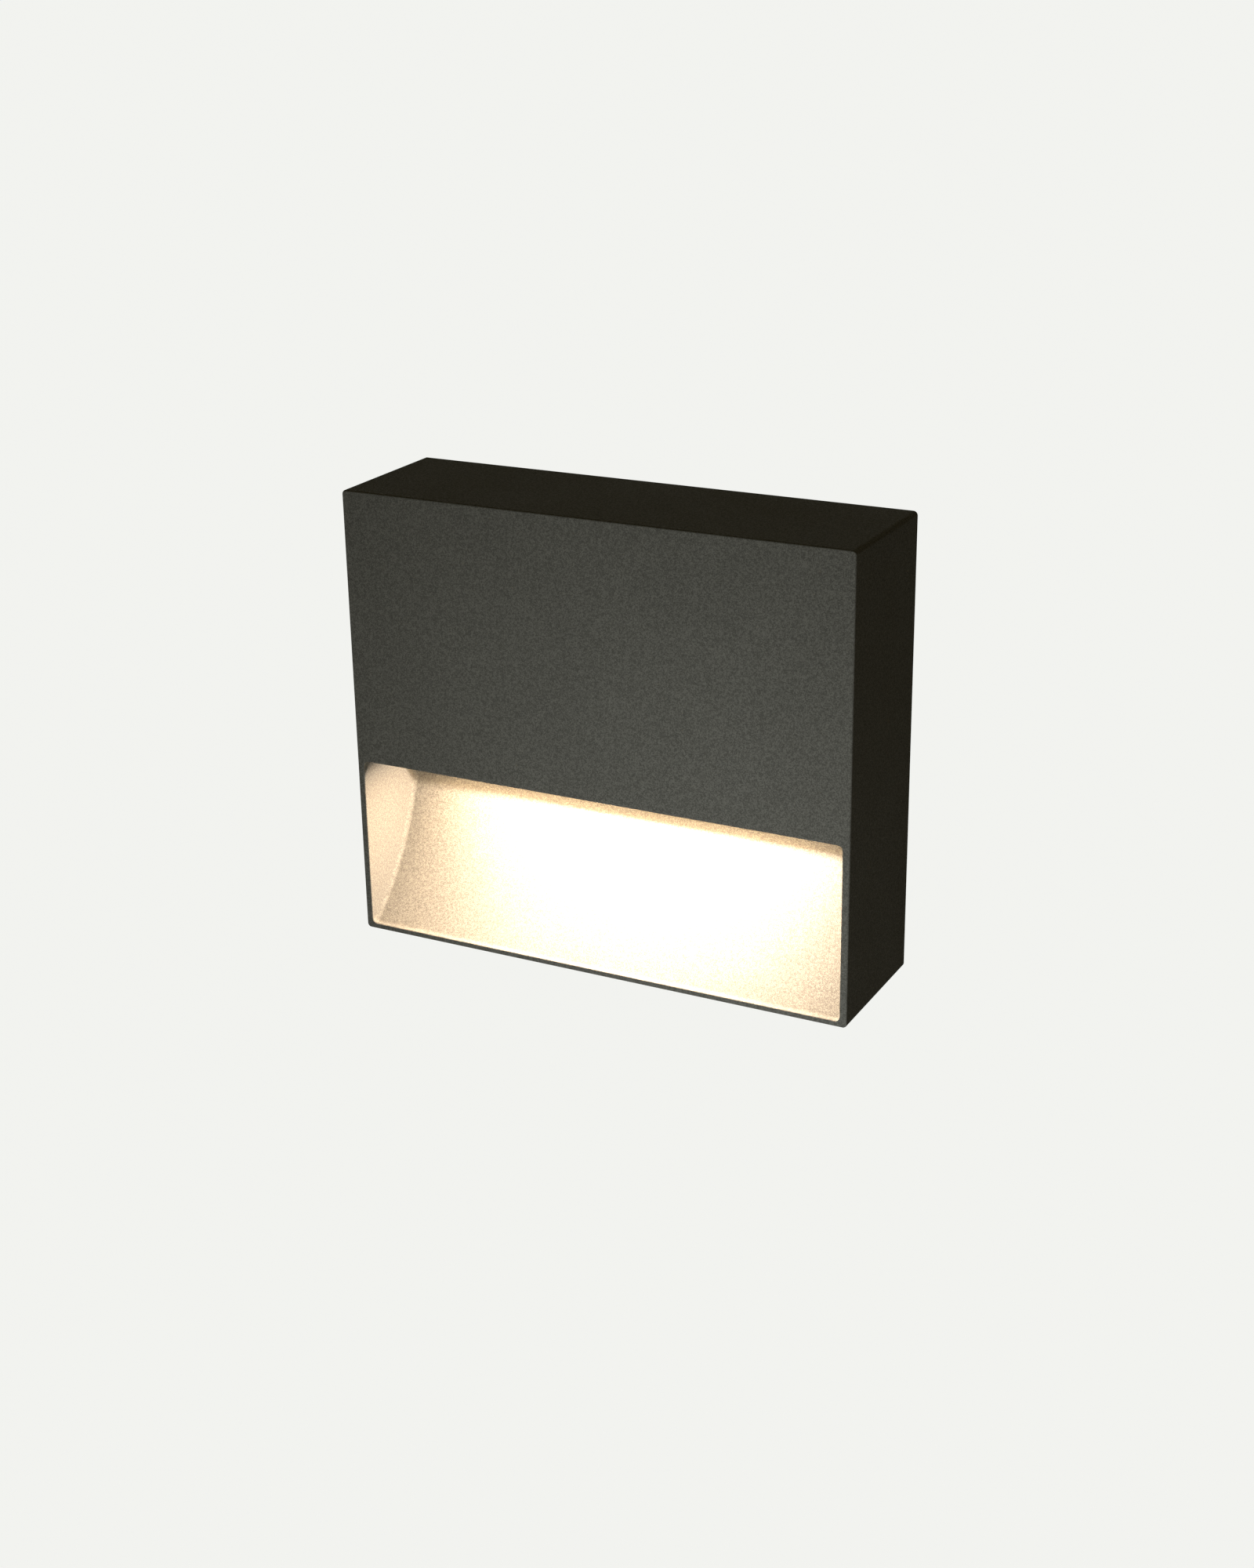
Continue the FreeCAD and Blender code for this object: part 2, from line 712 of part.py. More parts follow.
def terminal_contacts():
    """Brass bars that join each pole's blade socket to its wire clamp."""
    bars = []
    socket_end = plug_back_y + blade_reach + blade_tip_gap
    for z in pole_z:
        socket = block(span(socket_x, blade_thickness + 2 * blade_clearance),
                       (contact_front_y - clear_cut, socket_end), span(z, blade_width + 2 * blade_clearance))
        thread = rod((clamp_x, contact_front_y - clear_cut, z), (0, 1, 0), m3_radius + thread_clearance,
                     contact_thickness / 2 + clear_cut)
        bars.append(contact_bar(z).cut([socket, thread, wire_entry(z, wire_seat_radius)]))
    return bars


def terminal_block():
    solid = panel((terminal_left, terminal_right), (terminal_front_y, terminal_back_y),
                  span(pole_mid_z, terminal_height), moulding_corner_radius)
    cuts = []
    into_contacts = contact_y - terminal_front_y
    for z in pole_z:
        cuts.append(contact_bar(z))
        cuts.append(wire_entry(z, wire_entry_radius))
        cuts.append(block(span(socket_x, blade_thickness + 2 * socket_mouth),
                          (terminal_front_y - clear_cut, contact_y), span(z, blade_width + 2 * socket_mouth)))
        cuts.append(rod((clamp_x, terminal_front_y - clear_cut, z), (0, 1, 0),
                        clamp_hole_radius, into_contacts))
    pocket = head_sink + m3_head_height
    for z in terminal_screw_z:
        start = (terminal_mid_x, terminal_front_y - clear_cut, z)
        cuts.append(rod(start, (0, 1, 0), m3_radius + shank_clearance, terminal_thickness + 2 * clear_cut))
        cuts.append(rod(start, (0, 1, 0), m3_head_radius + head_clearance, pocket + clear_cut))
    return solid.cut(cuts)


def terminal_clamp_screws():
    """The slotted screws that clamp the supply cores."""
    screws = []
    head_y = terminal_front_y + clamp_sink
    for z in pole_z:
        head = rod((clamp_x, head_y, z), (0, 1, 0), clamp_head_radius, contact_front_y - head_y)
        shank = rod((clamp_x, contact_front_y, z), (0, 1, 0), m3_radius, clamp_shank)
        groove = block(span(clamp_x, 3 * clamp_head_radius),
                       (head_y - clear_cut, head_y + clamp_groove_depth), span(z, clamp_groove_width))
        screws.append(head.fuse(shank).removeSplitter().cut(groove))
    return screws


def terminal_fixing_screws():
    seat_y = terminal_front_y + head_sink + m3_head_height
    length = terminal_back_y - seat_y + m3_bite
    return [m3_screw((terminal_mid_x, seat_y, z), (0, 1, 0), length) for z in terminal_screw_z]


# ---------------------------------------------------------------- tray

def tray_pan():
    solid = panel((-tray_x, tray_x), (-tray_depth, 0), (-tray_z, tray_z), tray_corner_radius)
    inner_x = tray_x - tray_rim
    inner_z = tray_z - tray_rim
    return solid.cut(panel((-inner_x, inner_x), (-tray_depth - clear_cut, -tray_base), (-inner_z, inner_z),
                           tray_corner_radius))


def tray_arms():
    """The lugs that the grub screws press up against, and the tongues that carry the housing."""
    root_y = bite - tray_base
    arms = []
    for side in (-1, 1):
        lug_tip_y = lock_y - lock_radius - lug_tip_margin
        arms.append(block(span(side * lock_x, lug_width), (lug_tip_y, root_y),
                          (lug_bottom, lug_bottom + lug_thickness)))
        arms.append(block(span(side * lock_x, lug_gusset_width), (-tray_depth, root_y),
                          (lug_bottom, lug_bottom + lug_gusset_height)))
        arms.append(block(span(side * tongue_x, tongue_width), (rail_front_y, root_y),
                          span(tongue_z, tongue_thickness)))
    return arms


def mounting_tray():
    base_y = -tray_base
    studs = [(terminal_mid_x, z, m3_radius) for z in terminal_screw_z]
    studs.append((tray_earth_x, tray_earth_z, m4_radius))
    bosses = [rod((x, base_y + bite, z), (0, -1, 0), tray_boss_radius, terminal_boss_height + bite)
              for x, z, _ in studs]
    solid = tray_pan().fuse(tray_arms() + bosses).removeSplitter()

    cuts = [rod((x, terminal_back_y, z), (0, 1, 0), radius + thread_clearance,
                terminal_boss_height + tray_base - blind_floor / 2) for x, z, radius in studs]
    start_y = base_y - clear_cut
    through = tray_base + 2 * clear_cut
    for side in (-1, 1):
        cuts.append(obround(side * fixing_spacing / 2, 0, (start_y, start_y + through),
                            fixing_slot_length, fixing_slot_width))
    for entry in (entry_left, entry_right):
        cuts.append(rod((entry.x, start_y, entry.z), (0, 1, 0), entry_hole_radius, through))
    return solid.cut(cuts)


def body_gasket():
    outer_x = tray_x - gasket_inset
    outer_z = tray_z - gasket_inset
    inner_x = tray_x - tray_rim + gasket_inset
    inner_z = tray_z - tray_rim + gasket_inset
    ring = panel((-outer_x, outer_x), (ledge_y, -tray_depth), (-outer_z, outer_z), tray_corner_radius)
    return ring.cut(panel((-inner_x, inner_x), (ledge_y - clear_cut, clear_cut), (-inner_z, inner_z),
                          tray_corner_radius))


def turned(entry, outline):
    """A solid of revolution about a cable entry, from radius and Y pairs."""
    points = [Vector(entry.x + radius, y, entry.z) for radius, y in outline]
    face = Part.Face(Part.makePolygon(points + points[:1]))
    return face.revolve(entry, Vector(0, 1, 0), 360)


def grommet(entry, pierced):
    """A rubber grommet in a cable entry, with a cone that grips the cable."""
    neck = entry_hole_radius - grommet_clearance
    lip = entry_hole_radius + grommet_lip
    seat_y = -tray_base
    lip_y = seat_y - grommet_lip_thickness
    tip_y = lip_y - grommet_cone_length
    throat_y = tip_y + (grommet_throat if pierced else grommet_wall)
    tip = cable_radius + grommet_wall
    outer = turned(entry, [(0, 0), (neck, 0), (neck, seat_y), (lip, seat_y), (lip, lip_y),
                           (neck - grommet_shoulder, lip_y), (tip, tip_y), (0, tip_y)])
    hollow = turned(entry, [(0, clear_cut), (neck - grommet_wall, clear_cut), (neck - grommet_wall, lip_y),
                            (cable_radius, throat_y), (0, throat_y)])
    solid = outer.cut(hollow)
    if pierced:
        solid = solid.cut(rod((entry.x, tip_y - clear_cut, entry.z), (0, 1, 0), cable_radius,
                              grommet_throat + 2 * clear_cut))
    return solid


# ---------------------------------------------------------------- leads and earth lugs

def supply_lead(z, lift):
    """A lead from the plug to the driver, with a little slack."""
    third = driver_supply_gap / 3
    depth = driver_mid_y + supply_lead_step
    return lead([(plug_right, driver_mid_y, z), (plug_right + third, driver_mid_y, z),
                 (driver_left - third, depth, z + lift), (driver_left, depth, z + lift)], lead_radius)


def led_lead(side):
    """A lead from the driver down through the carrier's notch to the board's solder tab."""
    depth = driver_mid_y + side * led_lead_spread
    solder_y = led_y + side * board_lead_spacing / 2
    top = driver_mid_z - led_lead_drop
    return lead([(driver_right, depth, top), ((driver_right + board_tab_x) / 2, depth, top),
                 (board_tab_x, (depth + solder_y) / 2, top - led_lead_first_bend),
                 (board_tab_x, solder_y, top - led_lead_last_bend),
                 (board_tab_x, solder_y, board_top)], led_lead_radius)


def housing_earth():
    """The lug, screw and lead that earth the housing."""
    seat = (housing_earth_x, standoff_y, housing_earth_z)
    up = (0, 1, 0)
    down = (0, 0, -1)
    mouth = barrel_mouth(seat, up, down)
    wire = lead([(plug_right, housing_earth_depth, earth_z),
                 (plug_right + earth_lead_straight, housing_earth_depth, earth_z),
                 (mouth.x, mouth.y + earth_lead_lean, earth_z + earth_lead_first_rise),
                 (mouth.x, mouth.y, earth_z + earth_lead_last_rise), (mouth.x, mouth.y, mouth.z)],
                lead_radius)
    head = (seat[0], standoff_y + ring_thickness, seat[2])
    screw = m4_screw(head, (0, -1, 0), ring_thickness + m4_bite)
    return ring_lug(seat, up, down), screw, wire


def tray_earth():
    """The lug, screw and lead that earth the tray."""
    seat = (tray_earth_x, terminal_back_y, tray_earth_z)
    up = (0, -1, 0)
    left = (-1, 0, 0)
    mouth = barrel_mouth(seat, up, left)
    start_y = contact_y + wire_entry_offset
    third = (mouth.x - terminal_right) / 3
    wire = lead([(clamp_x + contact_end, start_y, earth_z), (terminal_right + third, start_y, earth_z),
                 (mouth.x - third, mouth.y, mouth.z), (mouth.x, mouth.y, mouth.z)], lead_radius)
    head = (seat[0], terminal_back_y - ring_thickness, seat[2])
    screw = m4_screw(head, (0, 1, 0), ring_thickness + m4_bite)
    return ring_lug(seat, up, left), screw, wire


# ---------------------------------------------------------------- every named piece

def pieces():
    made = {
        "housing": housing(),
        "locking_screws": locking_screws(),
        "lens_window": lens_window(),
        "lens_gasket": lens_gasket(),
        "led_chips": led_chips(),
        "led_board": led_board(),
        "thermal_pad": thermal_pad(),
        "led_carrier": led_carrier(),
        "carrier_screws": carrier_screws(),
        "driver_case": driver_case(),
        "driver_potting": driver_potting(),
        "driver_screws": driver_screws(),
        "plug_block": plug_block(),
        "plug_blades": plug_blades(),
        "plug_screws": plug_screws(),
        "live_lead": supply_lead(live_z, supply_lead_lift),
        "neutral_lead": supply_lead(neutral_z, -supply_lead_lift),
        "led_lead_positive": led_lead(1),
        "led_lead_negative": led_lead(-1),
        "mounting_tray": mounting_tray(),
        "body_gasket": body_gasket(),
        "cable_grommet": grommet(entry_left, pierced=True),
        "blind_grommet": grommet(entry_right, pierced=False),
        "terminal_block": terminal_block(),
        "terminal_contacts": terminal_contacts(),
        "terminal_clamp_screws": terminal_clamp_screws(),
        "terminal_fixing_screws": terminal_fixing_screws(),
    }
    made["housing_earth_lug"], made["housing_earth_screw"], made["housing_earth_lead"] = housing_earth()
    made["tray_earth_lug"], made["tray_earth_screw"], made["tray_earth_lead"] = tray_earth()
    return made


def save(name, shape):
    """Writes one STEP file; a list of shapes becomes separate solids in it."""
    solids = []
    for item in shape if isinstance(shape, list) else [shape]:
        if len(item.Solids) != 1 or not item.isValid():
            print(f"{name}: {len(item.Solids)} solids, valid {item.isValid()}")
        solids += item.Solids
    whole = solids[0] if len(solids) == 1 else Part.makeCompound(solids)
    whole.exportStep(os.path.join("parts", f"{name}.step"))


os.makedirs("parts", exist_ok=True)
for piece_name, piece_shape in pieces().items():
    save(piece_name, piece_shape)
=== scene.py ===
import json
import math
import bmesh
import bpy
from mathutils import Matrix, Vector

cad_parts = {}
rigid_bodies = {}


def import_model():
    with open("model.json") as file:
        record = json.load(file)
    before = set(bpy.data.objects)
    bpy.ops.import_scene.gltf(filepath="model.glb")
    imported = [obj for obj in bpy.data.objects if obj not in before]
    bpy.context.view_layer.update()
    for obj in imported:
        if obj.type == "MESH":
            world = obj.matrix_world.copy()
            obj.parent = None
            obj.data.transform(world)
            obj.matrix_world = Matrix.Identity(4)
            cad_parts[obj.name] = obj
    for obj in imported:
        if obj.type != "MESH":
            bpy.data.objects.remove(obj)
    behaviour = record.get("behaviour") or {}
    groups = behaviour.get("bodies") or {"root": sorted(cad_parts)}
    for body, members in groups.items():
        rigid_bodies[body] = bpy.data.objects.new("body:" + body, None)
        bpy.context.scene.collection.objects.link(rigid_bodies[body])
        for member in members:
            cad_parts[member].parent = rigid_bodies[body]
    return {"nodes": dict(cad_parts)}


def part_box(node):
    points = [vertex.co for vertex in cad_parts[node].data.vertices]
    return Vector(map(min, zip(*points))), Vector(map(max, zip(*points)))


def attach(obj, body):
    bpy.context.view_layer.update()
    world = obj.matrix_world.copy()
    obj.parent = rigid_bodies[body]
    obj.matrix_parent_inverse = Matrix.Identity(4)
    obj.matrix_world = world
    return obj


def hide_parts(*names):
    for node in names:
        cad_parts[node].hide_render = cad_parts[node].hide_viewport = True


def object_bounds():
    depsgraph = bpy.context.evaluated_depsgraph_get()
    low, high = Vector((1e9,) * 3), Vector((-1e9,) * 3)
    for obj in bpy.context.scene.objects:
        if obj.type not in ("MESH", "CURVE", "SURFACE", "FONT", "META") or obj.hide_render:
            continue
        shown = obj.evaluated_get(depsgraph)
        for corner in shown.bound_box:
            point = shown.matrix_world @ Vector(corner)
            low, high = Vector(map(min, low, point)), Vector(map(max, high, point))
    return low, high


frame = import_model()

# Outdoor wall light with a scooped recess, washed from above by a hidden row of LEDs.

for spare in [o for o in bpy.data.objects if o.name in ("Cube", "Light", "Camera")]:
    bpy.data.objects.remove(spare)

mm = 0.001
parts = frame["nodes"]
cadLow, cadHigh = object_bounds()
print("frame loaded:", len(parts), "parts")


def linkObject(name, data):
    made = bpy.data.objects.new(name, data)
    bpy.context.scene.collection.objects.link(made)
    return made


def meshObject(name, bm, materials):
    mesh = bpy.data.meshes.new(name)
    bm.to_mesh(mesh)
    bm.free()
    for material in materials:
        mesh.materials.append(material)
    return linkObject(name, mesh)


def joinPieces(name, bm, materials, body):
    made = meshObject(name, bm, materials)
    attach(made, body)
    return made


def addNode(tree, kind, x, y, settings=None, values=None):
    made = tree.nodes.new(kind)
    made.location = (x, y)
    for key, value in (settings or {}).items():
        setattr(made, key, value)
    for key, value in (values or {}).items():
        made.inputs[key].default_value = value
    return made


def wire(tree, source, target):
    tree.links.new(source, target)


def newGroup(name, inputs, outputs):
    # inputs are pairs of a name and a default, outputs are names
    group = bpy.data.node_groups.new(name, "ShaderNodeTree")
    for label, value in inputs:
        kind = "NodeSocketVector" if isinstance(value, tuple) else "NodeSocketFloat"
        socket = group.interface.new_socket(label, in_out="INPUT", socket_type=kind)
        socket.default_value = value
    for label in outputs:
        group.interface.new_socket(label, in_out="OUTPUT", socket_type="NodeSocketFloat")
    entry = addNode(group, "NodeGroupInput", -900, 0)
    leave = addNode(group, "NodeGroupOutput", 700, 0)
    return group, entry, leave


def perMetre(group, size, y):
    # turns a grain size in metres into a texture scale
    divide = addNode(group, "ShaderNodeMath", -650, y, {"operation": "DIVIDE"}, {0: 1.0})
    wire(group, size, divide.inputs[1])
    return divide.outputs[0]


def noiseLayer(group, scale, y, detail=2.0, roughness=0.5, distortion=0.0):
    coords = addNode(group, "ShaderNodeTexCoord", -650, y + 160)
    noise = addNode(group, "ShaderNodeTexNoise", -420, y, None,
                    {"Detail": detail, "Roughness": roughness, "Distortion": distortion})
    wire(group, coords.outputs["Object"], noise.inputs["Vector"])
    wire(group, scale, noise.inputs["Scale"])
    return noise


def spreadOut(tree, value, span, x, y, to=(0.0, 1.0), smooth=True):
    # stretches the span of a value to another range, with soft ends unless told otherwise
    spread = addNode(tree, "ShaderNodeMapRange", x, y,
                     {"interpolation_type": "SMOOTHSTEP" if smooth else "LINEAR"},
                     {"From Min": span[0], "From Max": span[1], "To Min": to[0], "To Max": to[1]})
    wire(tree, value, spread.inputs["Value"])
    return spread.outputs["Result"]


def between(tree, mask, ends, x, y):
    # goes evenly from the first end to the second as the mask goes from 0 to 1
    return spreadOut(tree, mask, (0.0, 1.0), x, y, ends, False)


def combine(tree, operation, first, second, x, y):
    made = addNode(tree, "ShaderNodeMath", x, y, {"operation": operation})
    for socket, value in zip(made.inputs, (first, second)):
        if isinstance(value, (int, float)):
            socket.default_value = value
        else:
            wire(tree, value, socket)
    return made.outputs[0]


grainSpans = {"coarser": 2.7, "peaks": (0.38, 0.64), "mottle": (0.3, 0.7)}


def buildGrain():
    # two sizes of grain, with a slow mottle over them
    group, entry, leave = newGroup("surfaceGrain", [("Grain Size", 0.0004), ("Coarse Share", 0.35),
                                                    ("Mottle Size", 0.02)], ["Height", "Peaks", "Mottle"])
    fine = noiseLayer(group, perMetre(group, entry.outputs["Grain Size"], 200), 200, 1.5, 0.55)
    coarseSize = combine(group, "MULTIPLY", entry.outputs["Grain Size"], grainSpans["coarser"], -800, -60)
    coarse = noiseLayer(group, perMetre(group, coarseSize, -60), -60, 1.0, 0.5, 0.4)
    slow = noiseLayer(group, perMetre(group, entry.outputs["Mottle Size"], -320), -320, 3.0, 0.6)
    share = entry.outputs["Coarse Share"]
    rest = combine(group, "SUBTRACT", 1.0, share, -200, 260)
    height = combine(group, "ADD", combine(group, "MULTIPLY", fine.outputs["Fac"], rest, -40, 200),
                     combine(group, "MULTIPLY", coarse.outputs["Fac"], share, -40, 0), 140, 120)
    wire(group, height, leave.inputs["Height"])
    wire(group, spreadOut(group, height, grainSpans["peaks"], 340, 60), leave.inputs["Peaks"])
    mottle = spreadOut(group, slow.outputs["Fac"], grainSpans["mottle"], 340, -260)
    wire(group, mottle, leave.inputs["Mottle"])
    return group


rubSpans = {"turned": (0.004, 0.16), "breaks": (0.36, 0.62)}


def buildEdgeRub():
    # 1 where a corner has been rubbed, broken up so that no edge is even; on the powder coat this mask also
    # places a painted edge highlight
    group, entry, leave = newGroup("edgeRub", [("Radius", 0.0008), ("Break Size", 0.003), ("Reach", 0.5)],
                                   ["Rub"])
    bevel = addNode(group, "ShaderNodeBevel", -420, 200, {"samples": 4})
    wire(group, entry.outputs["Radius"], bevel.inputs["Radius"])
    surface = addNode(group, "ShaderNodeNewGeometry", -420, 40)
    dot = addNode(group, "ShaderNodeVectorMath", -220, 140, {"operation": "DOT_PRODUCT"})
    wire(group, bevel.outputs["Normal"], dot.inputs[0])
    wire(group, surface.outputs["Normal"], dot.inputs[1])
    turned = combine(group, "SUBTRACT", 1.0, dot.outputs["Value"], -40, 140)
    edge = spreadOut(group, turned, rubSpans["turned"], 120, 140)
    breaks = noiseLayer(group, perMetre(group, entry.outputs["Break Size"], -200), -200, 3.0, 0.6)
    patch = spreadOut(group, breaks.outputs["Fac"], rubSpans["breaks"], 120, -120)
    wornAndHighlight = combine(group, "MULTIPLY", combine(group, "MULTIPLY", edge, patch, 300, 60),
                   entry.outputs["Reach"], 460, 40)
    wire(group, wornAndHighlight, leave.inputs["Rub"])
    return group


markSpans = {"blotch": (0.35, 0.68), "specks": (0.72, 0.78)}


def buildHandling():
    # soft blotches left by handling and wiping, and sparse specks of dust
    group, entry, leave = newGroup("handlingMarks", [("Blotch Size", 0.02), ("Speck Size", 0.0012)],
                                   ["Blotch", "Specks"])
    blotch = noiseLayer(group, perMetre(group, entry.outputs["Blotch Size"], 160), 160, 4.0, 0.62, 0.8)
    speck = noiseLayer(group, perMetre(group, entry.outputs["Speck Size"], -160), -160, 0.0, 0.5)
    blotches = spreadOut(group, blotch.outputs["Fac"], markSpans["blotch"], 200, 160)
    specks = spreadOut(group, speck.outputs["Fac"], markSpans["specks"], 200, -160)
    wire(group, blotches, leave.inputs["Blotch"])
    wire(group, specks, leave.inputs["Specks"])
    return group


lineSpan = (0.42, 0.62)


def buildDrawnLines():
    # fine lines along one axis, as a die, a cutter or a brush leaves them
    group, entry, leave = newGroup("drawnLines", [("Line Size", 0.0003), ("Squeeze", (0.02, 1.0, 1.0))],
                                   ["Height", "Lines"])
    coords = addNode(group, "ShaderNodeTexCoord", -820, 260)
    squeeze = addNode(group, "ShaderNodeVectorMath", -620, 260, {"operation": "MULTIPLY"})
    wire(group, coords.outputs["Object"], squeeze.inputs[0])
    wire(group, entry.outputs["Squeeze"], squeeze.inputs[1])
    lines = addNode(group, "ShaderNodeTexNoise", -420, 160, None, {"Detail": 3.0, "Roughness": 0.7})
    wire(group, squeeze.outputs["Vector"], lines.inputs["Vector"])
    wire(group, perMetre(group, entry.outputs["Line Size"], 60), lines.inputs["Scale"])
    wire(group, lines.outputs["Fac"], leave.inputs["Height"])
    wire(group, spreadOut(group, lines.outputs["Fac"], lineSpan, 200, 60), leave.inputs["Lines"])
    return group


def buildThread():
    # ridges of a screw thread along an axis
    group, entry, leave = newGroup("screwThread", [("Pitch", 0.0007), ("Axis", (0.0, 0.0, 1.0))], ["Height"])
    coords = addNode(group, "ShaderNodeTexCoord", -700, 120)
    along = addNode(group, "ShaderNodeVectorMath", -480, 120, {"operation": "DOT_PRODUCT"})
    wire(group, coords.outputs["Object"], along.inputs[0])
    wire(group, entry.outputs["Axis"], along.inputs[1])
    turns = combine(group, "DIVIDE", along.outputs["Value"], entry.outputs["Pitch"], -280, 120)
    ridge = combine(group, "PINGPONG", turns, 0.5, -80, 120)
    wire(group, ridge, leave.inputs["Height"])
    return group


surfaceGrain = buildGrain()
edgeRub = buildEdgeRub()
handlingMarks = buildHandling()
drawnLines = buildDrawnLines()
screwThread = buildThread()
print("node groups built")


def newFinish(name, roughness, metallic=0.0, level=0.5):
    material = bpy.data.materials.new(name)
    material.use_nodes = True
    tree = material.node_tree
    tree.nodes.clear()
    output = addNode(tree, "ShaderNodeOutputMaterial", 500, 0)
    shader = addNode(tree, "ShaderNodeBsdfPrincipled", 200, 0, None,
                     {"Roughness": roughness, "Metallic": metallic, "Specular IOR Level": level})
    wire(tree, shader.outputs["BSDF"], output.inputs["Surface"])
    return material, tree, shader


def placeGroup(tree, group, x, y, values):
    return addNode(tree, "ShaderNodeGroup", x, y, {"node_tree": group}, values)


def mixColours(tree, factor, first, second, x, y, blend="MIX"):
    mix = addNode(tree, "ShaderNodeMix", x, y, {"data_type": "RGBA", "blend_type": blend})
    for socket, value in ((mix.inputs[0], factor), (mix.inputs[6], first), (mix.inputs[7], second)):
        if isinstance(value, float):
            socket.default_value = value
        elif isinstance(value, tuple):
            socket.default_value = (*value, 1.0)
        else:
            wire(tree, value, socket)
    return mix.outputs[2]


def raiseBump(tree, shader, height, distance, strength, x=0, y=-300, under=None):
    bump = addNode(tree, "ShaderNodeBump", x, y, None, {"Distance": distance, "Strength": strength})
    wire(tree, height, bump.inputs["Height"])
    if under is not None:
        wire(tree, under, bump.inputs["Normal"])
    if shader is not None:
        wire(tree, bump.outputs["Normal"], shader.inputs["Normal"])
    return bump.outputs["Normal"]


powderCoat = {
    "valley": (0.044, 0.0438, 0.037),
    "peak": (0.08, 0.0798, 0.068),
    # the lighter edge colour: partly wear, partly a painted edge highlight standing for light caught by the
    # rounded edges
    "wornAndHighlight": (0.12, 0.118, 0.105),
    "grain": {"Grain Size": 0.27 * mm, "Coarse Share": 0.28, "Mottle Size": 30 * mm},
    "marks": {"Blotch Size": 45 * mm, "Speck Size": 1.1 * mm},
    "rub": {"Radius": 0.7 * mm, "Break Size": 2.2 * mm, "Reach": 0.2},
    "mottle": (0.975, 1.025),
    "roughness": (0.84, 0.68),       # in the valleys and on the peaks
    "blotchRoughness": 0.05,
    "bump": 0.06 * mm,
    "level": 0.015,
}


def makePowderCoat(coat):
    # dark grey powder coat with a fine raised texture, its edges lighter partly from wear and partly as a
    # painted edge highlight
    material, tree, shader = newFinish("powderCoat", 0.75, level=coat["level"])
    grain = placeGroup(tree, surfaceGrain, -700, 0, coat["grain"])
    marks = placeGroup(tree, handlingMarks, -700, -240, coat["marks"])
    rub = placeGroup(tree, edgeRub, -700, -460, coat["rub"])
    colour = mixColours(tree, grain.outputs["Peaks"], coat["valley"], coat["peak"], -420, 120)
    shade = between(tree, grain.outputs["Mottle"], coat["mottle"], -420, -60)
    toned = mixColours(tree, 1.0, colour, shade, -220, 120, "MULTIPLY")
    # painted edge highlight: rubbed edges take the lighter colour, partly for wear and partly for the light
    # that rounded edges catch
    wire(tree, mixColours(tree, rub.outputs["Rub"], toned, coat["wornAndHighlight"], -40, 120),
         shader.inputs["Base Color"])
    grainRough = between(tree, grain.outputs["Peaks"], coat["roughness"], -420, -240)
    blotchRough = combine(tree, "MULTIPLY", marks.outputs["Blotch"], coat["blotchRoughness"], -420, -400)
    wire(tree, combine(tree, "ADD", grainRough, blotchRough, -220, -240), shader.inputs["Roughness"])
    raiseBump(tree, shader, grain.outputs["Height"], coat["bump"], 1.0)
    return material


castMetal = {
    "bright": (0.52, 0.52, 0.508),
    "dull": (0.45, 0.45, 0.44),
    "stain": (0.38, 0.375, 0.362),
    "wornAndHighlight": (0.72, 0.72, 0.7),
    "skin": {"Grain Size": 0.5 * mm, "Coarse Share": 0.55, "Mottle Size": 9 * mm},
    "flow": {"Blotch Size": 24 * mm, "Speck Size": 1.6 * mm},
    "rub": {"Radius": 0.6 * mm, "Break Size": 3 * mm, "Reach": 0.8},
    "stainShare": 0.4,
    "roughness": (0.62, 0.46),
    "rubPolish": 0.18,
    "bump": 0.06 * mm,
}


def makeCastAluminium(metal):
    # raw die casting: a slightly pebbled skin, flow stains and bright corners
    material, tree, shader = newFinish("castAluminium", 0.5, 1.0)
    skin = placeGroup(tree, surfaceGrain, -700, 0, metal["skin"])
    flow = placeGroup(tree, handlingMarks, -700, -240, metal["flow"])
    rub = placeGroup(tree, edgeRub, -700, -460, metal["rub"])
    colour = mixColours(tree, skin.outputs["Mottle"], metal["dull"], metal["bright"], -420, 120)
    stain = combine(tree, "MULTIPLY", flow.outputs["Blotch"], metal["stainShare"], -420, -80)
    stained = mixColours(tree, stain, colour, metal["stain"], -220, 120)
    wire(tree, mixColours(tree, rub.outputs["Rub"], stained, metal["wornAndHighlight"], -40, 120),
         shader.inputs["Base Color"])
    skinRough = between(tree, skin.outputs["Peaks"], metal["roughness"], -420, -240)
    polish = combine(tree, "MULTIPLY", rub.outputs["Rub"], metal["rubPolish"], -420, -420)
    wire(tree, combine(tree, "SUBTRACT", skinRough, polish, -220, -240), shader.inputs["Roughness"])
    raiseBump(tree, shader, skin.outputs["Height"], metal["bump"], 0.8)
    return material


extrusion = {
    "bright": (0.66, 0.66, 0.655),
    "dull": (0.47, 0.47, 0.465),
    "stain": (0.4, 0.4, 0.39),
    "lines": {"Line Size": 0.22 * mm, "Squeeze": (0.006, 1.0, 1.0)},
    "marks": {"Blotch Size": 16 * mm, "Speck Size": 0.8 * mm},
    "stainShare": 0.3,
    "roughness": (0.3, 0.46),
    "bump": 0.02 * mm,
}


def makeExtruded(metal):
    # mill finish, with die lines along X
    material, tree, shader = newFinish("millAluminium", 0.35, 1.0)
    lines = placeGroup(tree, drawnLines, -700, 0, metal["lines"])
    marks = placeGroup(tree, handlingMarks, -700, -240, metal["marks"])
    colour = mixColours(tree, lines.outputs["Lines"], metal["dull"], metal["bright"], -420, 120)
    stain = combine(tree, "MULTIPLY", marks.outputs["Blotch"], metal["stainShare"], -420, -80)
    wire(tree, mixColours(tree, stain, colour, metal["stain"], -220, 120), shader.inputs["Base Color"])
    wire(tree, between(tree, marks.outputs["Blotch"], metal["roughness"], -220, -200),
         shader.inputs["Roughness"])
    raiseBump(tree, shader, lines.outputs["Height"], metal["bump"], 0.6)
    return material


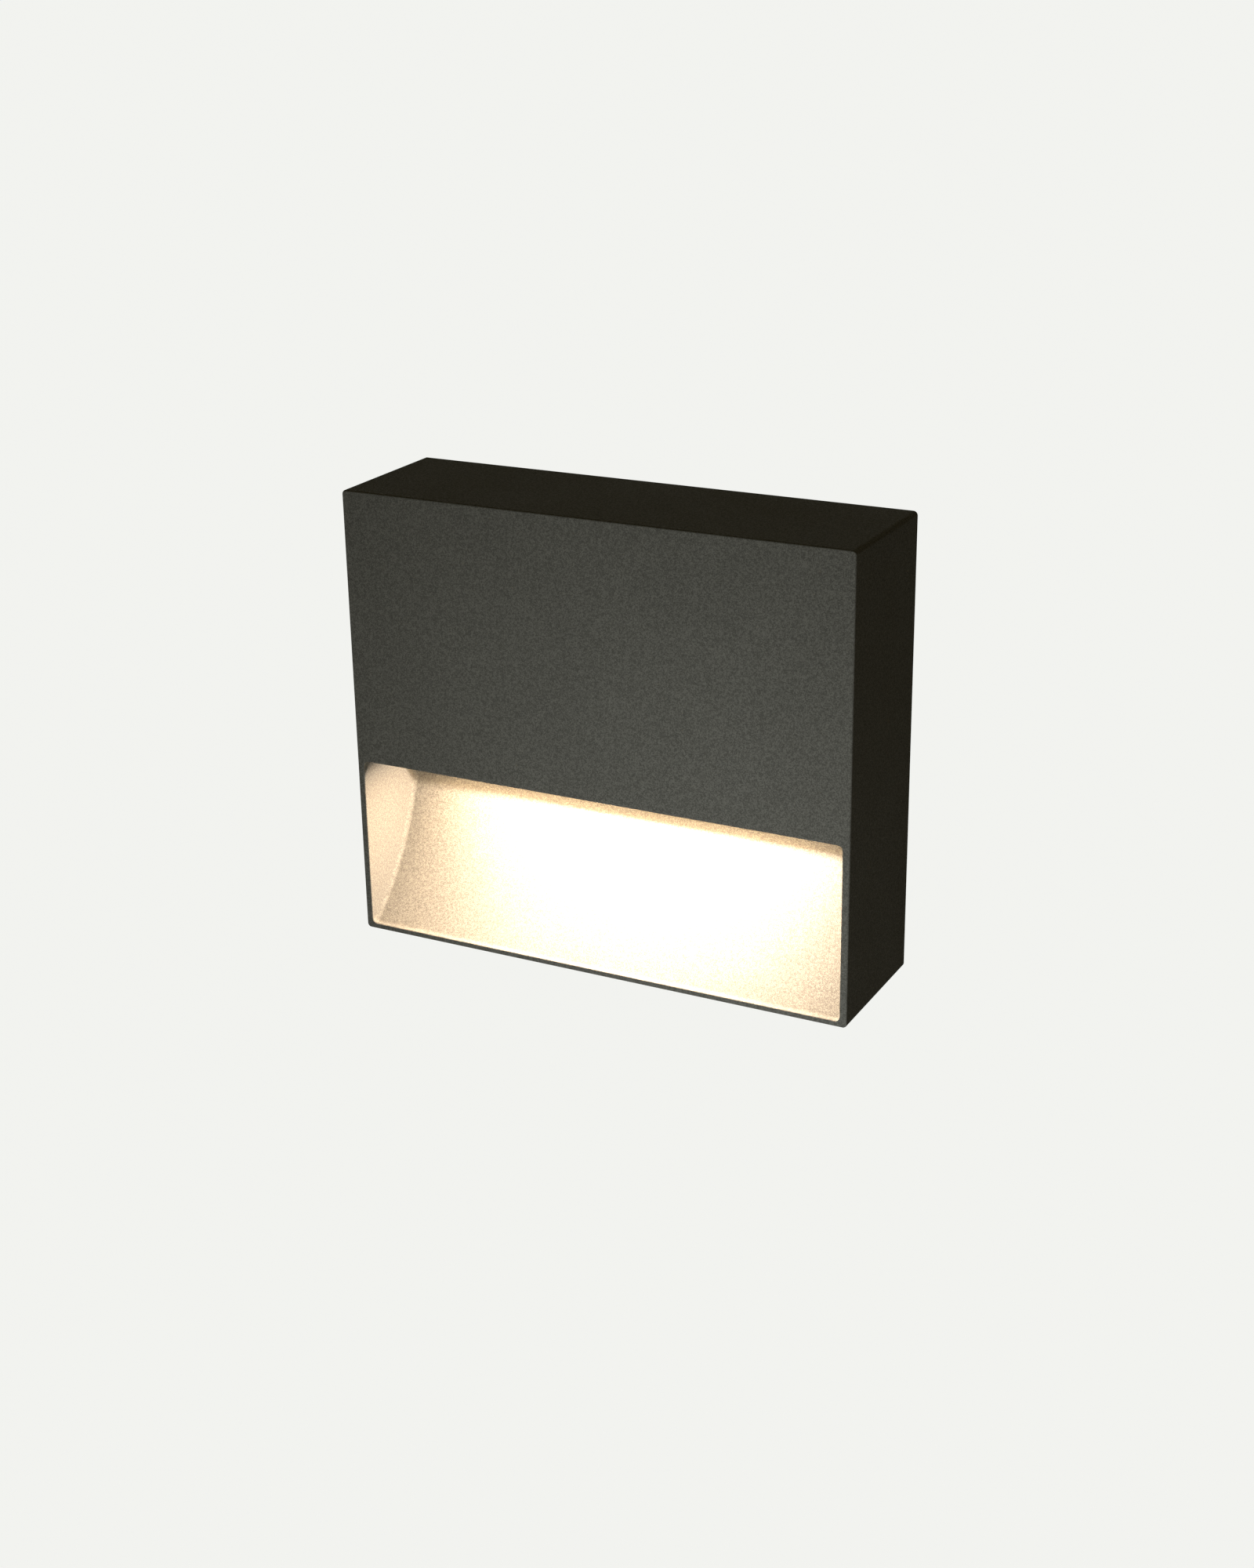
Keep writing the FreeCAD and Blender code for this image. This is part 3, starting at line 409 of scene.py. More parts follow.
screwFinishes = {
    "zinc_steel": {
        "name": "zincSteel",
        "bright": (0.62, 0.63, 0.65),
        "dull": (0.42, 0.43, 0.44),
        "thread": {"Pitch": 0.5 * mm, "Axis": (0.0, 1.0, 0.0)},
        "roughness": (0.28, 0.5),
    },
    "stainless_steel": {
        "name": "stainlessSteel",
        "bright": (0.58, 0.565, 0.54),
        "dull": (0.4, 0.39, 0.37),
        "thread": {"Pitch": 0.7 * mm, "Axis": (0.0, 0.0, 1.0)},
        "roughness": (0.2, 0.36),
    },
}
screwSkin = {
    "wornAndHighlight": (0.8, 0.8, 0.79),
    "grain": {"Grain Size": 0.12 * mm, "Coarse Share": 0.4, "Mottle Size": 2.5 * mm},
    "rub": {"Radius": 0.25 * mm, "Break Size": 0.8 * mm, "Reach": 0.8},
    "threadBump": 0.16 * mm,
    "bump": 0.015 * mm,
}


def makeScrewMetal(metal):
    # plated or bare screw steel: fine grain, a thread along the shank, rubbed corners
    material, tree, shader = newFinish(metal["name"], 0.35, 1.0)
    grain = placeGroup(tree, surfaceGrain, -700, 0, screwSkin["grain"])
    thread = placeGroup(tree, screwThread, -700, -240, metal["thread"])
    rub = placeGroup(tree, edgeRub, -700, -420, screwSkin["rub"])
    colour = mixColours(tree, grain.outputs["Mottle"], metal["dull"], metal["bright"], -420, 120)
    wire(tree, mixColours(tree, rub.outputs["Rub"], colour, screwSkin["wornAndHighlight"], -220, 120),
         shader.inputs["Base Color"])
    wire(tree, between(tree, grain.outputs["Peaks"], metal["roughness"], -220, -160),
         shader.inputs["Roughness"])
    ridges = raiseBump(tree, None, thread.outputs["Height"], screwSkin["threadBump"], 0.7, -220, -400)
    raiseBump(tree, shader, grain.outputs["Height"], screwSkin["bump"], 0.5, 0, -300, ridges)
    return material


softMetals = {
    "brass": {
        "name": "plainBrass",
        "bright": (0.78, 0.57, 0.27),
        "dull": (0.52, 0.36, 0.16),
        "tarnish": (0.27, 0.17, 0.08),
    },
    "tinned_copper": {
        "name": "tinnedCopper",
        "bright": (0.68, 0.67, 0.64),
        "dull": (0.5, 0.49, 0.46),
        "tarnish": (0.4, 0.34, 0.28),
    },
}
softMetalSkin = {
    "lines": {"Line Size": 0.1 * mm, "Squeeze": (1.0, 1.0, 0.05)},
    "marks": {"Blotch Size": 3 * mm, "Speck Size": 0.4 * mm},
    "rub": {"Radius": 0.2 * mm, "Break Size": 1 * mm, "Reach": 0.7},
    "tarnishShare": 0.5,
    "roughness": (0.24, 0.5),
    "bump": 0.012 * mm,
}


def makeSoftMetal(metal):
    # stamped brass or tinned copper, a little tarnished in patches
    material, tree, shader = newFinish(metal["name"], 0.35, 1.0)
    lines = placeGroup(tree, drawnLines, -700, 0, softMetalSkin["lines"])
    marks = placeGroup(tree, handlingMarks, -700, -240, softMetalSkin["marks"])
    rub = placeGroup(tree, edgeRub, -700, -420, softMetalSkin["rub"])
    colour = mixColours(tree, lines.outputs["Lines"], metal["dull"], metal["bright"], -420, 120)
    tarnish = combine(tree, "MULTIPLY", marks.outputs["Blotch"], softMetalSkin["tarnishShare"], -420, -80)
    toned = mixColours(tree, tarnish, colour, metal["tarnish"], -220, 120)
    wire(tree, mixColours(tree, rub.outputs["Rub"], toned, metal["bright"], -40, 120),
         shader.inputs["Base Color"])
    wire(tree, between(tree, marks.outputs["Blotch"], softMetalSkin["roughness"], -220, -160),
         shader.inputs["Roughness"])
    raiseBump(tree, shader, lines.outputs["Height"], softMetalSkin["bump"], 0.5)
    return material


mouldedFinishes = {
    "driver_shell": {
        "name": "driverShell",
        "light": (0.76, 0.755, 0.72),
        "dark": (0.66, 0.65, 0.61),
        "grainSize": 0.3 * mm,
        "bump": 0.03 * mm,
        "roughness": (0.42, 0.56),
        "level": 0.45,
    },
    "moulding": {
        "name": "blackMoulding",
        "light": (0.095, 0.095, 0.098),
        "dark": (0.06, 0.06, 0.062),
        "grainSize": 0.22 * mm,
        "bump": 0.03 * mm,
        "roughness": (0.4, 0.58),
        "level": 0.4,
    },
    "silicone": {
        "name": "greySilicone",
        "light": (0.37, 0.37, 0.355),
        "dark": (0.29, 0.29, 0.28),
        "grainSize": 0.5 * mm,
        "bump": 0.02 * mm,
        "roughness": (0.55, 0.72),
        "level": 0.3,
    },
    "black_rubber": {
        "name": "blackRubber",
        "light": (0.03, 0.03, 0.03),
        "dark": (0.017, 0.017, 0.018),
        "grainSize": 0.35 * mm,
        "bump": 0.03 * mm,
        "roughness": (0.6, 0.8),
        "level": 0.3,
    },
    "thermal_pad": {
        "name": "thermalFoam",
        "light": (0.43, 0.48, 0.51),
        "dark": (0.35, 0.4, 0.43),
        "grainSize": 0.4 * mm,
        "bump": 0.05 * mm,
        "roughness": (0.75, 0.9),
        "level": 0.2,
    },
}
mouldedSkin = {
    "grain": {"Coarse Share": 0.3, "Mottle Size": 8 * mm},
    "marks": {"Blotch Size": 14 * mm, "Speck Size": 0.7 * mm},
    "rub": {"Radius": 0.4 * mm, "Break Size": 1.5 * mm, "Reach": 0.5},
    "dust": (0.32, 0.3, 0.27),
    "dustShare": 0.35,
    "rubGain": 1.35,                 # how much paler a rubbed corner is
    "rubLift": 0.015,
    "palest": 0.9,
}


def makeMoulded(look):
    # moulded plastic or rubber with the texture of its mould and pale rubbed corners
    material, tree, shader = newFinish(look["name"], 0.5, level=look["level"])
    grain = placeGroup(tree, surfaceGrain, -700, 0, {"Grain Size": look["grainSize"], **mouldedSkin["grain"]})
    marks = placeGroup(tree, handlingMarks, -700, -240, mouldedSkin["marks"])
    rub = placeGroup(tree, edgeRub, -700, -420, mouldedSkin["rub"])
    colour = mixColours(tree, grain.outputs["Mottle"], look["dark"], look["light"], -420, 120)
    pale = tuple(min(mouldedSkin["palest"], c * mouldedSkin["rubGain"] + mouldedSkin["rubLift"])
                 for c in look["light"])
    rubbed = mixColours(tree, rub.outputs["Rub"], colour, pale, -220, 120)
    dusted = combine(tree, "MULTIPLY", marks.outputs["Specks"], mouldedSkin["dustShare"], -220, -60)
    wire(tree, mixColours(tree, dusted, rubbed, mouldedSkin["dust"], -40, 120), shader.inputs["Base Color"])
    wire(tree, between(tree, marks.outputs["Blotch"], look["roughness"], -220, -200),
         shader.inputs["Roughness"])
    raiseBump(tree, shader, grain.outputs["Height"], look["bump"], 0.7)
    return material


leadFinishes = {
    "lead_brown": {"name": "brownInsulation", "light": (0.17, 0.07, 0.033), "dark": (0.12, 0.048, 0.022)},
    "lead_blue": {"name": "blueInsulation", "light": (0.022, 0.125, 0.46), "dark": (0.016, 0.085, 0.33)},
    "lead_red": {"name": "redInsulation", "light": (0.5, 0.024, 0.02), "dark": (0.37, 0.015, 0.013)},
    "lead_black": {"name": "blackInsulation", "light": (0.026, 0.026, 0.027), "dark": (0.016, 0.016, 0.017)},
    "lead_earth": {"name": "earthInsulation", "light": (0.05, 0.3, 0.055), "dark": (0.035, 0.22, 0.04)},
}
leadSkin = {
    "grain": {"Grain Size": 0.25 * mm, "Coarse Share": 0.6, "Mottle Size": 4 * mm},
    "marks": {"Blotch Size": 5 * mm, "Speck Size": 0.5 * mm},
    "roughness": (0.34, 0.5),
    "bump": 0.02 * mm,
}
earthStripe = {"colour": (0.78, 0.6, 0.03), "side": (0.35, -0.9, 0.25), "edge": (0.28, 0.36)}


def makeInsulation(look):
    # extruded PVC: satin, faintly uneven, with a stripe on the earth leads
    material, tree, shader = newFinish(look["name"], 0.4, level=0.45)
    grain = placeGroup(tree, surfaceGrain, -700, 0, leadSkin["grain"])
    marks = placeGroup(tree, handlingMarks, -700, -240, leadSkin["marks"])
    colour = mixColours(tree, grain.outputs["Mottle"], look["dark"], look["light"], -420, 120)
    if look["name"].startswith("earth"):
        surface = addNode(tree, "ShaderNodeNewGeometry", -700, 260)
        facing = addNode(tree, "ShaderNodeVectorMath", -520, 260, {"operation": "DOT_PRODUCT"},
                         {1: earthStripe["side"]})
        wire(tree, surface.outputs["Normal"], facing.inputs[0])
        stripe = spreadOut(tree, facing.outputs["Value"], earthStripe["edge"], -340, 260)
        colour = mixColours(tree, stripe, colour, earthStripe["colour"], -220, 200)
    wire(tree, colour, shader.inputs["Base Color"])
    wire(tree, between(tree, marks.outputs["Blotch"], leadSkin["roughness"], -220, -200),
         shader.inputs["Roughness"])
    raiseBump(tree, shader, grain.outputs["Height"], leadSkin["bump"], 0.5)
    return material


resinLook = {
    "deep": (0.022, 0.022, 0.024),
    "pale": (0.04, 0.039, 0.038),
    "dust": (0.25, 0.24, 0.22),
    "skin": {"Grain Size": 3.5 * mm, "Coarse Share": 0.6, "Mottle Size": 12 * mm},
    "marks": {"Blotch Size": 10 * mm, "Speck Size": 0.9 * mm},
    "dustShare": 0.5,
    "roughness": (0.24, 0.31),
    "bump": 0.25 * mm,
}


def makeResin(look):
    # poured potting resin: black, glossy and gently uneven
    material, tree, shader = newFinish("pottingResin", 0.18)
    skin = placeGroup(tree, surfaceGrain, -700, 0, look["skin"])
    marks = placeGroup(tree, handlingMarks, -700, -240, look["marks"])
    colour = mixColours(tree, skin.outputs["Mottle"], look["deep"], look["pale"], -420, 120)
    dusted = combine(tree, "MULTIPLY", marks.outputs["Specks"], look["dustShare"], -420, -80)
    wire(tree, mixColours(tree, dusted, colour, look["dust"], -220, 120), shader.inputs["Base Color"])
    wire(tree, between(tree, marks.outputs["Blotch"], look["roughness"], -220, -200),
         shader.inputs["Roughness"])
    raiseBump(tree, shader, skin.outputs["Height"], look["bump"], 0.5)
    return material


lensLook = {
    "colour": (0.97, 0.98, 0.97),
    "index": 1.49,
    "marks": {"Blotch Size": 12 * mm, "Speck Size": 0.6 * mm},
    "haze": (0.03, 0.12),
    "speckHaze": 0.25,
    "bump": 0.01 * mm,
}


def makeLens(look):
    # clear lens, with a faint haze where it has been wiped
    material, tree, shader = newFinish("clearLens", 0.06)
    shader.inputs["Base Color"].default_value = (*look["colour"], 1.0)
    shader.inputs["Transmission Weight"].default_value = 1.0
    shader.inputs["IOR"].default_value = look["index"]
    marks = placeGroup(tree, handlingMarks, -700, -100, look["marks"])
    wiped = between(tree, marks.outputs["Blotch"], look["haze"], -420, -100)
    specks = combine(tree, "MULTIPLY", marks.outputs["Specks"], look["speckHaze"], -420, -260)
    wire(tree, combine(tree, "ADD", wiped, specks, -220, -100), shader.inputs["Roughness"])
    raiseBump(tree, shader, marks.outputs["Blotch"], look["bump"], 0.3)
    return material


boardLook = {
    "gap": (0.8, 0.81, 0.77),        # between the tracks
    "track": (0.87, 0.87, 0.84),
    "aged": (0.74, 0.73, 0.66),
    "tracks": {"Line Size": 1.6 * mm, "Squeeze": (0.12, 1.0, 1.0)},
    "grain": {"Grain Size": 0.1 * mm, "Coarse Share": 0.4, "Mottle Size": 5 * mm},
    "trackEdge": (0.49, 0.515),
    "agedShare": 0.25,
    "roughness": (0.28, 0.42),
    "bump": 0.035 * mm,
}


def makeBoard(look):
    # white solder mask over etched tracks
    material, tree, shader = newFinish("boardMask", 0.35)
    tracks = placeGroup(tree, drawnLines, -700, 0, look["tracks"])
    grain = placeGroup(tree, surfaceGrain, -700, -240, look["grain"])
    edges = spreadOut(tree, tracks.outputs["Height"], look["trackEdge"], -420, 0)
    colour = mixColours(tree, edges, look["gap"], look["track"], -220, 120)
    aged = combine(tree, "MULTIPLY", grain.outputs["Mottle"], look["agedShare"], -420, -160)
    wire(tree, mixColours(tree, aged, colour, look["aged"], -40, 120), shader.inputs["Base Color"])
    wire(tree, between(tree, grain.outputs["Peaks"], look["roughness"], -220, -200),
         shader.inputs["Roughness"])
    raiseBump(tree, shader, edges, look["bump"], 0.8)
    return material


phosphorLook = {
    "deep": (0.86, 0.62, 0.12),
    "pale": (0.95, 0.74, 0.24),
    "grain": {"Grain Size": 0.08 * mm, "Coarse Share": 0.5, "Mottle Size": 1.2 * mm},
    "roughness": (0.28, 0.45),
    "glow": (1.0, 0.78, 0.46),
    "strength": 4.0,
    "bump": 0.02 * mm,
}


def makePhosphor(look):
    # yellow phosphor gel, glowing
    material, tree, shader = newFinish("phosphorGel", 0.35)
    grain = placeGroup(tree, surfaceGrain, -700, 0, look["grain"])
    wire(tree, mixColours(tree, grain.outputs["Peaks"], look["deep"], look["pale"], -420, 120),
         shader.inputs["Base Color"])
    wire(tree, between(tree, grain.outputs["Mottle"], look["roughness"], -420, -160),
         shader.inputs["Roughness"])
    shader.inputs["Emission Color"].default_value = (*look["glow"], 1.0)
    shader.inputs["Emission Strength"].default_value = look["strength"]
    raiseBump(tree, shader, grain.outputs["Height"], look["bump"], 0.6)
    return material


finishes = {
    "powder_coat": makePowderCoat(powderCoat),
    "cast_aluminium": makeCastAluminium(castMetal),
    "extruded_aluminium": makeExtruded(extrusion),
    "potting_resin": makeResin(resinLook),
    "clear_lens": makeLens(lensLook),
    "board_white": makeBoard(boardLook),
    "led_phosphor": makePhosphor(phosphorLook),
}
for makeFinish, looks in ((makeScrewMetal, screwFinishes), (makeSoftMetal, softMetals),
                          (makeMoulded, mouldedFinishes), (makeInsulation, leadFinishes)):
    for slot, look in looks.items():
        finishes[slot] = makeFinish(look)
for part in parts.values():
    for carried in part.material_slots:
        carried.material = finishes[carried.material.name.split(".")[0]]
print("finishes assigned:", len(finishes))


chipBodyLook = {
    "dull": (0.8, 0.79, 0.74),
    "bright": (0.88, 0.87, 0.83),
    "grain": {"Grain Size": 0.06 * mm, "Coarse Share": 0.3, "Mottle Size": 1.5 * mm},
    "roughness": (0.35, 0.5),
    "bump": 0.01 * mm,
}


def makeChipBody(look):
    # white moulded body of an LED package
    material, tree, shader = newFinish("ledBody", 0.4)
    grain = placeGroup(tree, surfaceGrain, -700, 0, look["grain"])
    wire(tree, mixColours(tree, grain.outputs["Mottle"], look["dull"], look["bright"], -420, 120),
         shader.inputs["Base Color"])
    wire(tree, between(tree, grain.outputs["Peaks"], look["roughness"], -420, -160),
         shader.inputs["Roughness"])
    raiseBump(tree, shader, grain.outputs["Height"], look["bump"], 0.4)
    return material


# LED packages: a white body with a cup of phosphor
ledRow = {
    "pitch": 10.4 * mm,
    "size": (3.5 * mm, 2.8 * mm),
    "cutCorner": 0.35 * mm,
    "sideCorner": 0.12 * mm,
    "rim": 0.05 * mm,
    "cup": (2.75 * mm, 2.1 * mm),    # cup opening
    "cupCorner": 0.5 * mm,
    "cupTaper": 0.14 * mm,           # how far the cup's wall leans in
    "cupDepth": 0.22 * mm,
    "floorCorner": 0.42 * mm,
    "crownInset": 0.6 * mm,          # the gel's crown, inside the cup's opening
    "crownCorner": 0.3 * mm,
    "crownDepth": 0.8,               # as a share of the cup's depth
    "cornerSteps": 4,
    "terminal": (0.42 * mm, 2.2 * mm, 0.16 * mm),
}


def ringPoints(halfX, halfY, corner, steps, cut=0.0):
    # rounded rectangle, anticlockwise, with one plain cut corner if asked
    points = []
    for index, (signX, signY) in enumerate(((1, 1), (-1, 1), (-1, -1), (1, -1))):
        if cut and index == 0:
            # as many points as a round corner has, so that the rings still match
            points += [(halfX, halfY - cut)] + [(halfX - cut, halfY)] * steps
            continue
        for step in range(steps + 1):
            angle = math.radians(90 * index + 90 * step / steps)
            points.append((signX * (halfX - corner) + corner * math.cos(angle),
                           signY * (halfY - corner) + corner * math.sin(angle)))
    return points


def addLedBody(bm, middle, row, base, face):
    # middle is (x, y); base is the board's face and face is the LED's own light face, lower in z
    halfX, halfY = row["size"][0] / 2, row["size"][1] / 2
    cupX, cupY = row["cup"][0] / 2, row["cup"][1] / 2
    side, cut, rim = row["sideCorner"], row["cutCorner"], row["rim"]
    taper, inset = row["cupTaper"], row["crownInset"]
    # half widths, corner radius, height, cut corner and material of each ring, from the board down and in
    levels = [
        (halfX, halfY, side, base, cut, 0),
        (halfX, halfY, side, face + rim, cut, 0),
        (halfX - rim, halfY - rim, side, face, cut, 0),
        (cupX, cupY, row["cupCorner"], face, 0.0, 0),
        (cupX - taper, cupY - taper, row["floorCorner"], face + row["cupDepth"], 0.0, 0),
        (cupX - inset, cupY - inset, row["crownCorner"], face + row["cupDepth"] * row["crownDepth"], 0.0, 1),
    ]
    insideCup = 3
    loops = []
    for x, y, corner, z, cutHere, _ in levels:
        loops.append([bm.verts.new((middle[0] + px, middle[1] + py, z))
                      for px, py in ringPoints(x, y, corner, row["cornerSteps"], cutHere)])
    for index, (outer, inner) in enumerate(zip(loops, loops[1:])):
        for k in range(len(outer)):
            n = (k + 1) % len(outer)
            quad = bm.faces.new((outer[k], inner[k], inner[n], outer[n]))
            quad.material_index = levels[index + 1][5]
            quad.smooth = index >= insideCup
    crown = bm.faces.new(loops[-1])
    crown.material_index = 1
    bm.faces.new(list(reversed(loops[0])))


def buildLeds():
    low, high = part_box("led_chips")
    bm = bmesh.new()
    count = round((high.x - low.x - ledRow["size"][0]) / ledRow["pitch"]) + 1
    places = [low.x + ledRow["size"][0] / 2 + index * ledRow["pitch"] for index in range(count)]
    y = (low.y + high.y) / 2
    for x in places:
        addLedBody(bm, (x, y), ledRow, high.z, low.z)
    bmesh.ops.remove_doubles(bm, verts=bm.verts, dist=0.001 * mm)
    bmesh.ops.recalc_face_normals(bm, faces=bm.faces)
    leds = joinPieces("ledPackages", bm, [makeChipBody(chipBodyLook), finishes["led_phosphor"]],
                      "light_head")
    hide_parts("led_chips")
    return places, y


ledPlaces, ledMiddle = buildLeds()
print("LED packages:", len(ledPlaces))


solderLook = {
    "dull": (0.5, 0.5, 0.49),
    "bright": (0.72, 0.72, 0.7),
    "grain": {"Grain Size": 0.15 * mm, "Coarse Share": 0.5, "Mottle Size": 0.9 * mm},
    "roughness": (0.22, 0.42),
    "bump": 0.03 * mm,
}


def makeSolder(look):
    # bright solder with a dull, wrinkled skin
    material, tree, shader = newFinish("solder", 0.3, 1.0)
    grain = placeGroup(tree, surfaceGrain, -700, 0, look["grain"])
    wire(tree, mixColours(tree, grain.outputs["Mottle"], look["dull"], look["bright"], -420, 120),
         shader.inputs["Base Color"])
    wire(tree, between(tree, grain.outputs["Peaks"], look["roughness"], -420, -160),
         shader.inputs["Roughness"])
    raiseBump(tree, shader, grain.outputs["Height"], look["bump"], 0.6)
    return material


# what is soldered to the board: the LEDs' terminals, resistors and the joints of the two leads
boardTrim = {
    "terminalSoften": 0.05 * mm,
    "resistor": (1.6 * mm, 0.8 * mm, 0.45 * mm),
    "resistorEvery": 3,              # one in so many gaps between LEDs
    "bodyShare": 0.62,               # of the resistor's length, and so on
    "endShare": 0.19,
    "padShare": 0.4,
    "padPlace": 0.6,
    "padWidth": 1.15,                # of the resistor's width
    "bodySoften": 0.04 * mm,
    "endSoften": 0.05 * mm,
    "tinThickness": 0.05 * mm,
    "jointRadius": 1.25 * mm,
    "jointHeight": 0.55 * mm,
    "jointSides": 20,
    "jointProfile": ((1.0, 0.0), (0.86, 0.12), (0.7, 0.38), (0.5, 0.7), (0.28, 0.92)),
    "leadSpacing": 5.0 * mm,
    "tabInset": 1.5 * mm,
}


def addSlab(bm, centre, size, material, soften=0.0):
    place = Matrix.Translation(centre) @ Matrix.Diagonal((*size, 1.0))
    made = bmesh.ops.create_cube(bm, size=1.0, matrix=place)
    edges = list({e for v in made["verts"] for e in v.link_edges})
    faces = list({f for v in made["verts"] for f in v.link_faces})
    if soften:
        result = bmesh.ops.bevel(bm, geom=edges, offset=soften, segments=2, profile=0.5, affect="EDGES",
                                 clamp_overlap=True)
        faces += result["faces"]
    for face in faces:
        if face.is_valid:
            face.material_index = material


def addJoint(bm, centre, trim):
    # a solder joint under the board: a wide foot that sweeps down to a blunt crown
    radius, height, sides = trim["jointRadius"], trim["jointHeight"], trim["jointSides"]
    rings = []
    for reach, drop in trim["jointProfile"]:
        rings.append([bm.verts.new((centre[0] + radius * reach * math.cos(2 * math.pi * k / sides),
                                    centre[1] + radius * reach * math.sin(2 * math.pi * k / sides),
                                    centre[2] - height * drop)) for k in range(sides)])
    for outer, inner in zip(rings, rings[1:]):
        for k in range(sides):
            n = (k + 1) % sides
            quad = bm.faces.new((outer[k], outer[n], inner[n], inner[k]))
            quad.smooth = True
    crown = bm.verts.new((centre[0], centre[1], centre[2] - height))
    for k in range(sides):
        cap = bm.faces.new((rings[-1][k], rings[-1][(k + 1) % sides], crown))
        cap.smooth = True


def addResistor(bm, x, y, face, trim):
    length, width, height = trim["resistor"]
    end = length * trim["endShare"]
    addSlab(bm, (x, y, face - height / 2), (length * trim["bodyShare"], width, height), 1, trim["bodySoften"])
    for side in (-1, 1):
        addSlab(bm, (x + side * (length / 2 - end / 2), y, face - height / 2), (end, width, height), 0,
                trim["endSoften"])
        addSlab(bm, (x + side * length * trim["padPlace"], y, face - trim["tinThickness"] / 2),
                (length * trim["padShare"], width * trim["padWidth"], trim["tinThickness"]), 0)


def buildBoardTrim(trim):
    low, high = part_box("led_board")
    bm = bmesh.new()
    terminal = ledRow["terminal"]
    for x in ledPlaces:
        for side in (-1, 1):
            reach = x + side * (ledRow["size"][0] / 2 + terminal[0] / 2)
            addSlab(bm, (reach, ledMiddle, low.z - terminal[2] / 2), terminal, 0, trim["terminalSoften"])
    gaps = [(a + b) / 2 for a, b in zip(ledPlaces, ledPlaces[1:])]
    for x in gaps[1::trim["resistorEvery"]]:
        addResistor(bm, x, ledMiddle, low.z, trim)
    for side in (-1, 1):
        jointY = ledMiddle + side * trim["leadSpacing"] / 2
        addJoint(bm, (high.x - trim["tabInset"], jointY, low.z), trim)
    joinPieces("boardTrim", bm, [makeSolder(solderLook), finishes["moulding"]], "light_head")


buildBoardTrim(boardTrim)
print("board trim built")


# angles in degrees, lengths of the lens and its sensor in millimetres
view = {
    "place": (0.2799, -0.5552, 0.2182),
    "turn": 27.655,
    "tilt": -21.184,
    "roll": -0.895,
    "lens": 53.61,
    "sensor": 36.0,
    "nearest": 0.01,
    "farthest": 200.0,
}


def buildCamera():
    data = bpy.data.cameras.new("mainCamera")
    data.lens = view["lens"]
    data.sensor_width = view["sensor"]
    data.clip_start = view["nearest"]
    data.clip_end = view["farthest"]
    camera = linkObject("mainCamera", data)
    aim = (Matrix.Rotation(math.radians(view["turn"]), 4, "Z")
           @ Matrix.Rotation(math.radians(90 + view["tilt"]), 4, "X")
           @ Matrix.Rotation(math.radians(view["roll"]), 4, "Z"))
    camera.matrix_world = Matrix.Translation(view["place"]) @ aim
    bpy.context.scene.camera = camera


studio = {
    "floorBelow": 0.385,             # floor under the lowest point of the light
    "floorHalf": 60.0,
    "paper": (0.888, 0.896, 0.871),  # the pale ground behind the object
    "paperGlow": 1.1,                # over 1, because the floor's own lit share is darker
    "floorColour": (0.62, 0.6, 0.55),
    "floorShare": 0.1,               # how much of the floor's own light and shadow shows
    "fill": (0.14, 0.11, 0.048),     # what the surroundings give the object
}


def seenDirectly(tree, x, y):
    # 1 for rays straight from the camera, from a mirror or through glass
    path = addNode(tree, "ShaderNodeLightPath", x, y)
    first = combine(tree, "MAXIMUM", path.outputs["Is Camera Ray"], path.outputs["Is Glossy Ray"], x + 200, y)
    return combine(tree, "MAXIMUM", first, path.outputs["Is Transmission Ray"], x + 400, y)


def makePaper():
    # lit paper for the shadow, mixed with an even glow that hides the floor's far edge
    material = bpy.data.materials.new("studioPaper")
    material.use_nodes = True
    tree = material.node_tree
    tree.nodes.clear()
    output = addNode(tree, "ShaderNodeOutputMaterial", 500, 0)
    paper = addNode(tree, "ShaderNodeBsdfDiffuse", 0, 0, None, {"Color": (*studio["floorColour"], 1.0)})
    glow = addNode(tree, "ShaderNodeEmission", 0, -200, None,
                   {"Color": (*studio["paper"], 1.0), "Strength": studio["paperGlow"]})
    mix = addNode(tree, "ShaderNodeMixShader", 250, 0)
    share = combine(tree, "MULTIPLY", seenDirectly(tree, -700, 200), 1.0 - studio["floorShare"], -100, 200)
    wire(tree, share, mix.inputs[0])
    wire(tree, paper.outputs[0], mix.inputs[1])
    wire(tree, glow.outputs[0], mix.inputs[2])
    wire(tree, mix.outputs[0], output.inputs["Surface"])
    return material


def buildFloor():
    z = cadLow.z - studio["floorBelow"]
    half = studio["floorHalf"]
    bm = bmesh.new()
    corners = ((-half, -half), (half, -half), (half, half), (-half, half))
    bm.faces.new([bm.verts.new((x, y, z)) for x, y in corners])
    made = meshObject("studioFloor", bm, [makePaper()])


def buildWorld():
    world = bpy.data.worlds.new("studioWorld")
    bpy.context.scene.world = world
    world.use_nodes = True
    tree = world.node_tree
    tree.nodes.clear()
    output = addNode(tree, "ShaderNodeOutputWorld", 500, 0)
    dim = addNode(tree, "ShaderNodeBackground", 0, 0, None, {"Color": (*studio["fill"], 1.0)})
    paper = addNode(tree, "ShaderNodeBackground", 0, -160, None, {"Color": (*studio["paper"], 1.0)})
    mix = addNode(tree, "ShaderNodeMixShader", 250, 0)
    wire(tree, seenDirectly(tree, -700, 200), mix.inputs[0])
    wire(tree, dim.outputs[0], mix.inputs[1])
    wire(tree, paper.outputs[0], mix.inputs[2])
    wire(tree, mix.outputs[0], output.inputs["Surface"])


def addLamp(name, place, width, height, power, colour):
    data = bpy.data.lights.new(name, "AREA")
    data.shape = "RECTANGLE"
    data.size, data.size_y = width, height
    data.energy, data.color = power, colour
    made = linkObject(name, data)
    made.location = place
    made.visible_camera = False
    return made


